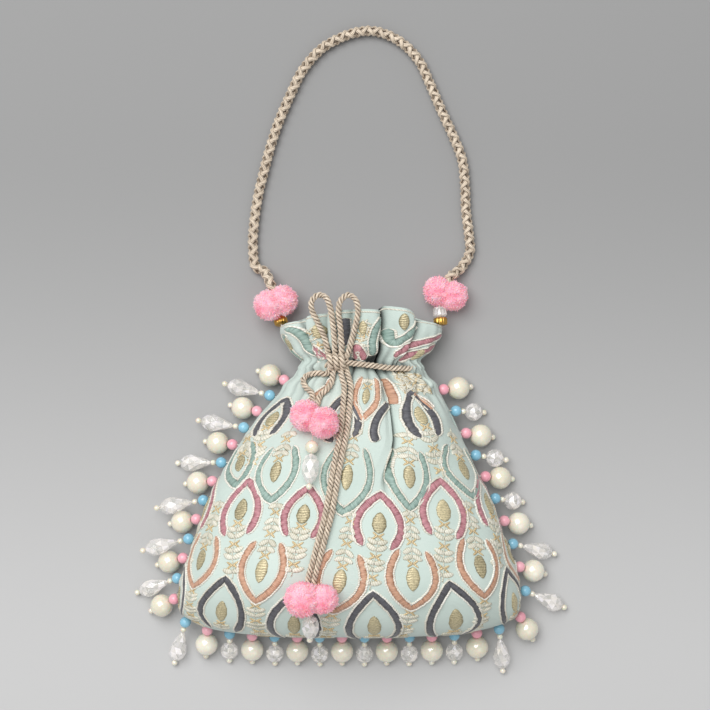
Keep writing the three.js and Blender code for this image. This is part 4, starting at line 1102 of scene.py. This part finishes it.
pearly, shader, place, _ = finish("ivory_pearl", {
    "IOR": 1.6, "Coat Weight": 1.0, "Coat Roughness": 0.1, "Coat IOR": 1.9, "Subsurface Weight": 0.15,
    "Subsurface Scale": 0.003})
veil = place.noise(120.0, 3.0) * 0.5 + tone_of(shader) * 0.4
wear(shader, veil.between(srgb(222, 215, 190), srgb(249, 244, 229)), 0.22 + place.noise(400.0) * 0.1,
     place.noise(700.0), 0.00003)
# Each facet gets a random tone that sets it from grey to a warm or cool white: painted glints and
# iridescence. The crystal also glows faintly in that colour, painted light that stands in for light gathered
# in the cut glass.
clear, shader, place, _ = finish("cut_crystal", {
    "Roughness": 0.04, "IOR": 1.6, "Coat Weight": 1.0, "Coat Roughness": 0.02, "Emission Strength": 0.12})
facet = tone_of(shader)
hue = place.noise(260.0).between(srgb(255, 246, 222), srgb(236, 236, 255))
painted_glints = (facet * 1.4 - 0.1).between(srgb(210, 210, 204), hue)
wear(shader, painted_glints, None, place.noise(900.0), 0.00001)
shader.id_data.links.new(painted_glints.socket, shader.inputs["Emission Color"])
shader.id_data.links.new((facet ** 2.0 * 0.42 + 0.33).socket, shader.inputs["Alpha"])
nylon, shader, place, _ = finish("white_thread", {"Roughness": 0.5})
spun = place.noise(900.0).between(srgb(205, 198, 186), srgb(240, 236, 228))
wear(shader, spun, None, place.noise(1800.0), 0.00005)
dress(bead_mesh("tassel_crystals", crystals, True), clear, "crystal_beads", "tassel_short_drop",
      "tassel_long_drop")
dress(bead_mesh("tassel_pearls", pearls + seeds), pearly, "pearl_beads")
dress(bead_mesh("tassel_threads", threads), nylon, "pearl_beads")

# Handle: a round braid of four thick champagne strands, lying on the paper between two pairs of pom-poms.
# Each pair is tied to a corner of the hem through end beads, a gold one, and at the right a cut crystal
# above it.
HANDLE = [[-47.5, 127], [-49, 137], [-48.5, 148], [-46.5, 162], [-43.5, 175], [-40, 188], [-36, 200],
          [-30, 214], [-24, 226], [-15, 236.5], [-7, 241.5], [2, 245], [11, 246], [20, 243.5],
          [28, 238.5], [35, 230.5], [40, 220], [46, 206], [52, 193], [56.5, 181], [58, 168], [58.5, 155],
          [60, 143], [60.3, 134]]
BRAID, BRAID_FULLER, BRAID_LEAD, HANDLE_Z, HANDLE_POM = 5.5, 1.07, 11.4, 3.05, 7.7
BARREL_SIZE, CRYSTAL_SIZE, CRYSTAL_START, TIE = (3.5, 4.0), (3.5, 5.0), 4.3, 0.45
way = np.array([-0.06, 1.0, -0.12]) / np.linalg.norm([-0.06, 1.0, -0.12])
right_root = np.array([45.35, 97.3, 11.0])
right_pom = right_root + 17.3 * way
left_pom = np.array([-33.7, 109.7, 11.9])
left_rise = [[left_pom[0] - 4.2, left_pom[1] + 3.4, 12.2], [left_pom[0] - 6.4, left_pom[1] + 9.3, 10.7],
             [left_pom[0] - 9.6, left_pom[1] + 15, 4.55]]
right_rise = [[right_pom[0] + 10.6, right_pom[1] + 10.7, 4.55],
              [right_pom[0] + 6.6, right_pom[1] + 7.9, 7.7], [right_pom[0] + 4, right_pom[1] + 3.6, 8.2]]
handle_line = laid_line(left_rise + [[x, y, HANDLE_Z] for x, y in HANDLE] + right_rise, 0.55)


def braided(line, diameter, lead):
    """A round four-strand braid: two strands wind each way round the line and pass over and under each
    other, each flattened against the middle. A plain core fills the middle."""
    side, over = frames(line, np.array(UP))
    length = lengths(line)
    w = 2 * np.pi * length / lead
    turn = np.stack([w, w + np.pi, -w + np.pi / 2, -w - np.pi / 2])
    high = np.stack([1, 1, -1, -1])[:, None] * np.cos(2 * w + np.pi / 2)
    scale = diameter / BRAID
    away = scale * (1.28 + 0.42 * high)
    beta = np.linspace(-np.pi, np.pi, 11)
    out = np.cos(turn)[..., None] * side + np.sin(turn)[..., None] * over
    round_ = -np.sin(turn)[..., None] * side + np.cos(turn)[..., None] * over
    rings = (line + away[..., None] * out)[:, :, None] + scale * (
        1.02 * np.cos(beta)[:, None] * out[:, :, None] + 1.35 * np.sin(beta)[:, None] * round_[:, :, None])
    grown = 0 * rings[..., 0]
    uv = np.stack([length[None, :, None] + grown, np.linspace(-1, 1, 11) + grown], -1)
    core = line[None, :, None] + scale * 0.9 * (
        np.cos(beta)[:, None] * side[None, :, None] + np.sin(beta)[:, None] * over[None, :, None])
    # The core gets tone 0, so it shows darker in the gaps between the strands: painted shade.
    return [tubes(rings, uv, np.linspace(0.3, 0.7, 4)), tubes(core, uv[:1], [0.0])]


plait, shader, place, flat = finish("champagne_braid", {"Roughness": 0.4, "Sheen Weight": 0.3,
                                                        "Sheen Roughness": 0.3})
length, over, _ = flat.axes()
yarn = (over * 18.8 + length * 1.2).math("SINE") * 0.5 + 0.5
# The sides of each strand are darker: painted shade in the grooves between them.
share = 0.14 + yarn * 0.45 + place.noise(300.0) * 0.5 + tone_of(shader) * 0.2 - over * over * 1.2
wear(shader, share.between(srgb(84, 63, 44), srgb(246, 229, 206)), 0.32 + yarn * 0.2, yarn, 0.00015)
# The braid is drawn a little fuller than its size, for the same reason as the drawstring.
braid = mesh_piece("braided_handle", *joined(braided(handle_line, BRAID_FULLER * BRAID, BRAID_LEAD)))
dress(braid, plait, "braid_cord", "handle_braid")
right_pair = [(right_pom[0], right_pom[1], 8.0, HANDLE_POM),
              (right_pom[0] + 7.2, right_pom[1] - 2.2, 8.0, HANDLE_POM)]
left_pair = [(*left_pom, HANDLE_POM), (left_pom[0] - 6.6, left_pom[1] - 2.4, 13.7, HANDLE_POM)]
right_poms = pompom("right_pompoms", right_pair, 5, "handle_pompoms_right")
left_poms = pompom("left_pompoms", left_pair, 6, "handle_pompoms_left")

brass, shader, place, _ = finish("gold_bead", {"Roughness": 0.28, "Metallic": 1.0})
worn = place.noise(500.0)
wear(shader, worn.between(srgb(170, 118, 40), srgb(236, 198, 112)), 0.2 + worn * 0.25, worn, 0.00004)
BARREL = np.array([[0.25, 0.02], [0.6, 0.0], [0.86, 0.05], [0.97, 0.17], [1.0, 0.4], [1.0, 0.6],
                   [0.97, 0.83], [0.86, 0.95], [0.6, 1.0], [0.25, 0.98]])
CYLINDER_CUT = np.array([[0.3, 0.0], [0.8, 0.04], [1.0, 0.18], [1.0, 0.82], [0.8, 0.96], [0.3, 1.0]])


def fluted(rings, count):
    """The same rings with fine flutes cut round the axis."""
    middle = rings.mean(axis=1, keepdims=True)
    turn = np.linspace(0, 2 * np.pi, rings.shape[1], endpoint=False)[None, :, None]
    return middle + (rings - middle) * (0.965 + 0.035 * np.cos(count * turn))


left_root = np.array([-34.3, 97.6, 10.0])
left_way = np.array([-0.2, 1.0, -0.4]) / np.linalg.norm([-0.2, 1.0, -0.4])
right_ends, left_ends = (right_root, right_root + way), (left_root, left_root + left_way)
gold_beads = [fluted(turned(ends, 0.0, BARREL * BARREL_SIZE, 96), 16) for ends in (right_ends, left_ends)]
dress(bead_mesh("handle_gold_beads", gold_beads), brass, "gold_bead", "handle_gold_bead_right",
      "handle_gold_bead_left")
crystal = turned(right_ends, CRYSTAL_START, CYLINDER_CUT * CRYSTAL_SIZE, 12, 0.5)
dress(bead_mesh("handle_crystal", [crystal], True), clear, "crystal_beads", "handle_crystal_right")
ties = [strung(right_ends, -1.5, 14, TIE, 8), strung(left_ends, -1.5, 12, TIE, 8)]
dress(bead_mesh("handle_threads", ties), nylon, "pearl_beads")

# Fringe: strands of beads sewn along the seam. A pink bead, a large pearl and a seed pearl take turns with
# a blue bead, a seed pearl, a cut crystal and a seed pearl, each on one white thread.
BEAD, PEARL, INSIDE = 5.6, 11.4, np.array([0.0, 5.0, 20.0])
DROP_CUT = np.array([[0.12, 0.0], [0.34, 0.08], [0.58, 0.27], [0.84, 0.46], [1.0, 0.64], [0.9, 0.8],
                     [0.58, 0.93], [0.2, 1.0]])
BALL_CUT = np.array([[0.2, 0.0], [0.62, 0.1], [0.93, 0.3], [1.0, 0.5], [0.93, 0.7], [0.62, 0.9], [0.2, 1.0]])
# Each kind of cut: its profile at its half width and length, and its number of sides.
CUTS = {"round": (BALL_CUT * (4.6, 9.2), 9), "drop": (DROP_CUT * (4.4, 16.5), 8)}
pearls, seeds, small, crystals, threads = [], [], {"pink": [], "blue": []}, [], []
pearl_nodes = sorted(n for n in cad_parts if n.startswith("fringe_") and n.endswith("_pearl"))
crystal_nodes = sorted(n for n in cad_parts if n.startswith("fringe_") and n not in pearl_nodes)
for i, name in enumerate(pearl_nodes + crystal_nodes):
    ends = node_axis(name, INSIDE)
    total = float(np.linalg.norm(ends[1] - ends[0]))
    kind = name.split("_")[-1]
    small["pink" if kind == "pearl" else "blue"].append(turned(ends, 0.0, round_bead(BEAD, 11), 20))
    if kind == "pearl":
        pearls.append(turned(ends, BEAD, round_bead(PEARL, 21), 36))
    else:
        seeds.append(seed_pearl(ends, BEAD))
        cut, sides = CUTS[kind]
        crystals.append(turned(ends, BEAD + SEED, cut, sides, 0.5, 0.7 * i))
    seeds.append(seed_pearl(ends, total - SEED))
    threads.append(strung(ends, -1.2, total + 1.0, THREAD, 6))
dress(bead_mesh("fringe_pearls", pearls), pearly, "pearl_beads", *pearl_nodes)
dress(bead_mesh("fringe_crystals", crystals, True), clear, "crystal_beads", *crystal_nodes)
dress(bead_mesh("fringe_seed_pearls", seeds), pearly, "pearl_beads")
dress(bead_mesh("fringe_threads", threads), nylon, "pearl_beads")
bead_colors = {"pink": ((240, 158, 174), (254, 196, 206)), "blue": ((114, 176, 204), (154, 206, 227))}
for color, (dark, light) in bead_colors.items():
    glaze, shader, place, _ = finish(f"{color}_bead", {"Roughness": 0.24, "Coat Weight": 0.5,
                                                       "Coat Roughness": 0.08})
    share = place.noise(200.0) * 0.6 + tone_of(shader) * 0.4
    wear(shader, share.between(srgb(*dark), srgb(*light)), 0.2 + place.noise(600.0) * 0.1,
         place.noise(800.0), 0.00003)
    dress(bead_mesh(f"fringe_{color}_beads", small[color]), glaze, "pearl_beads")
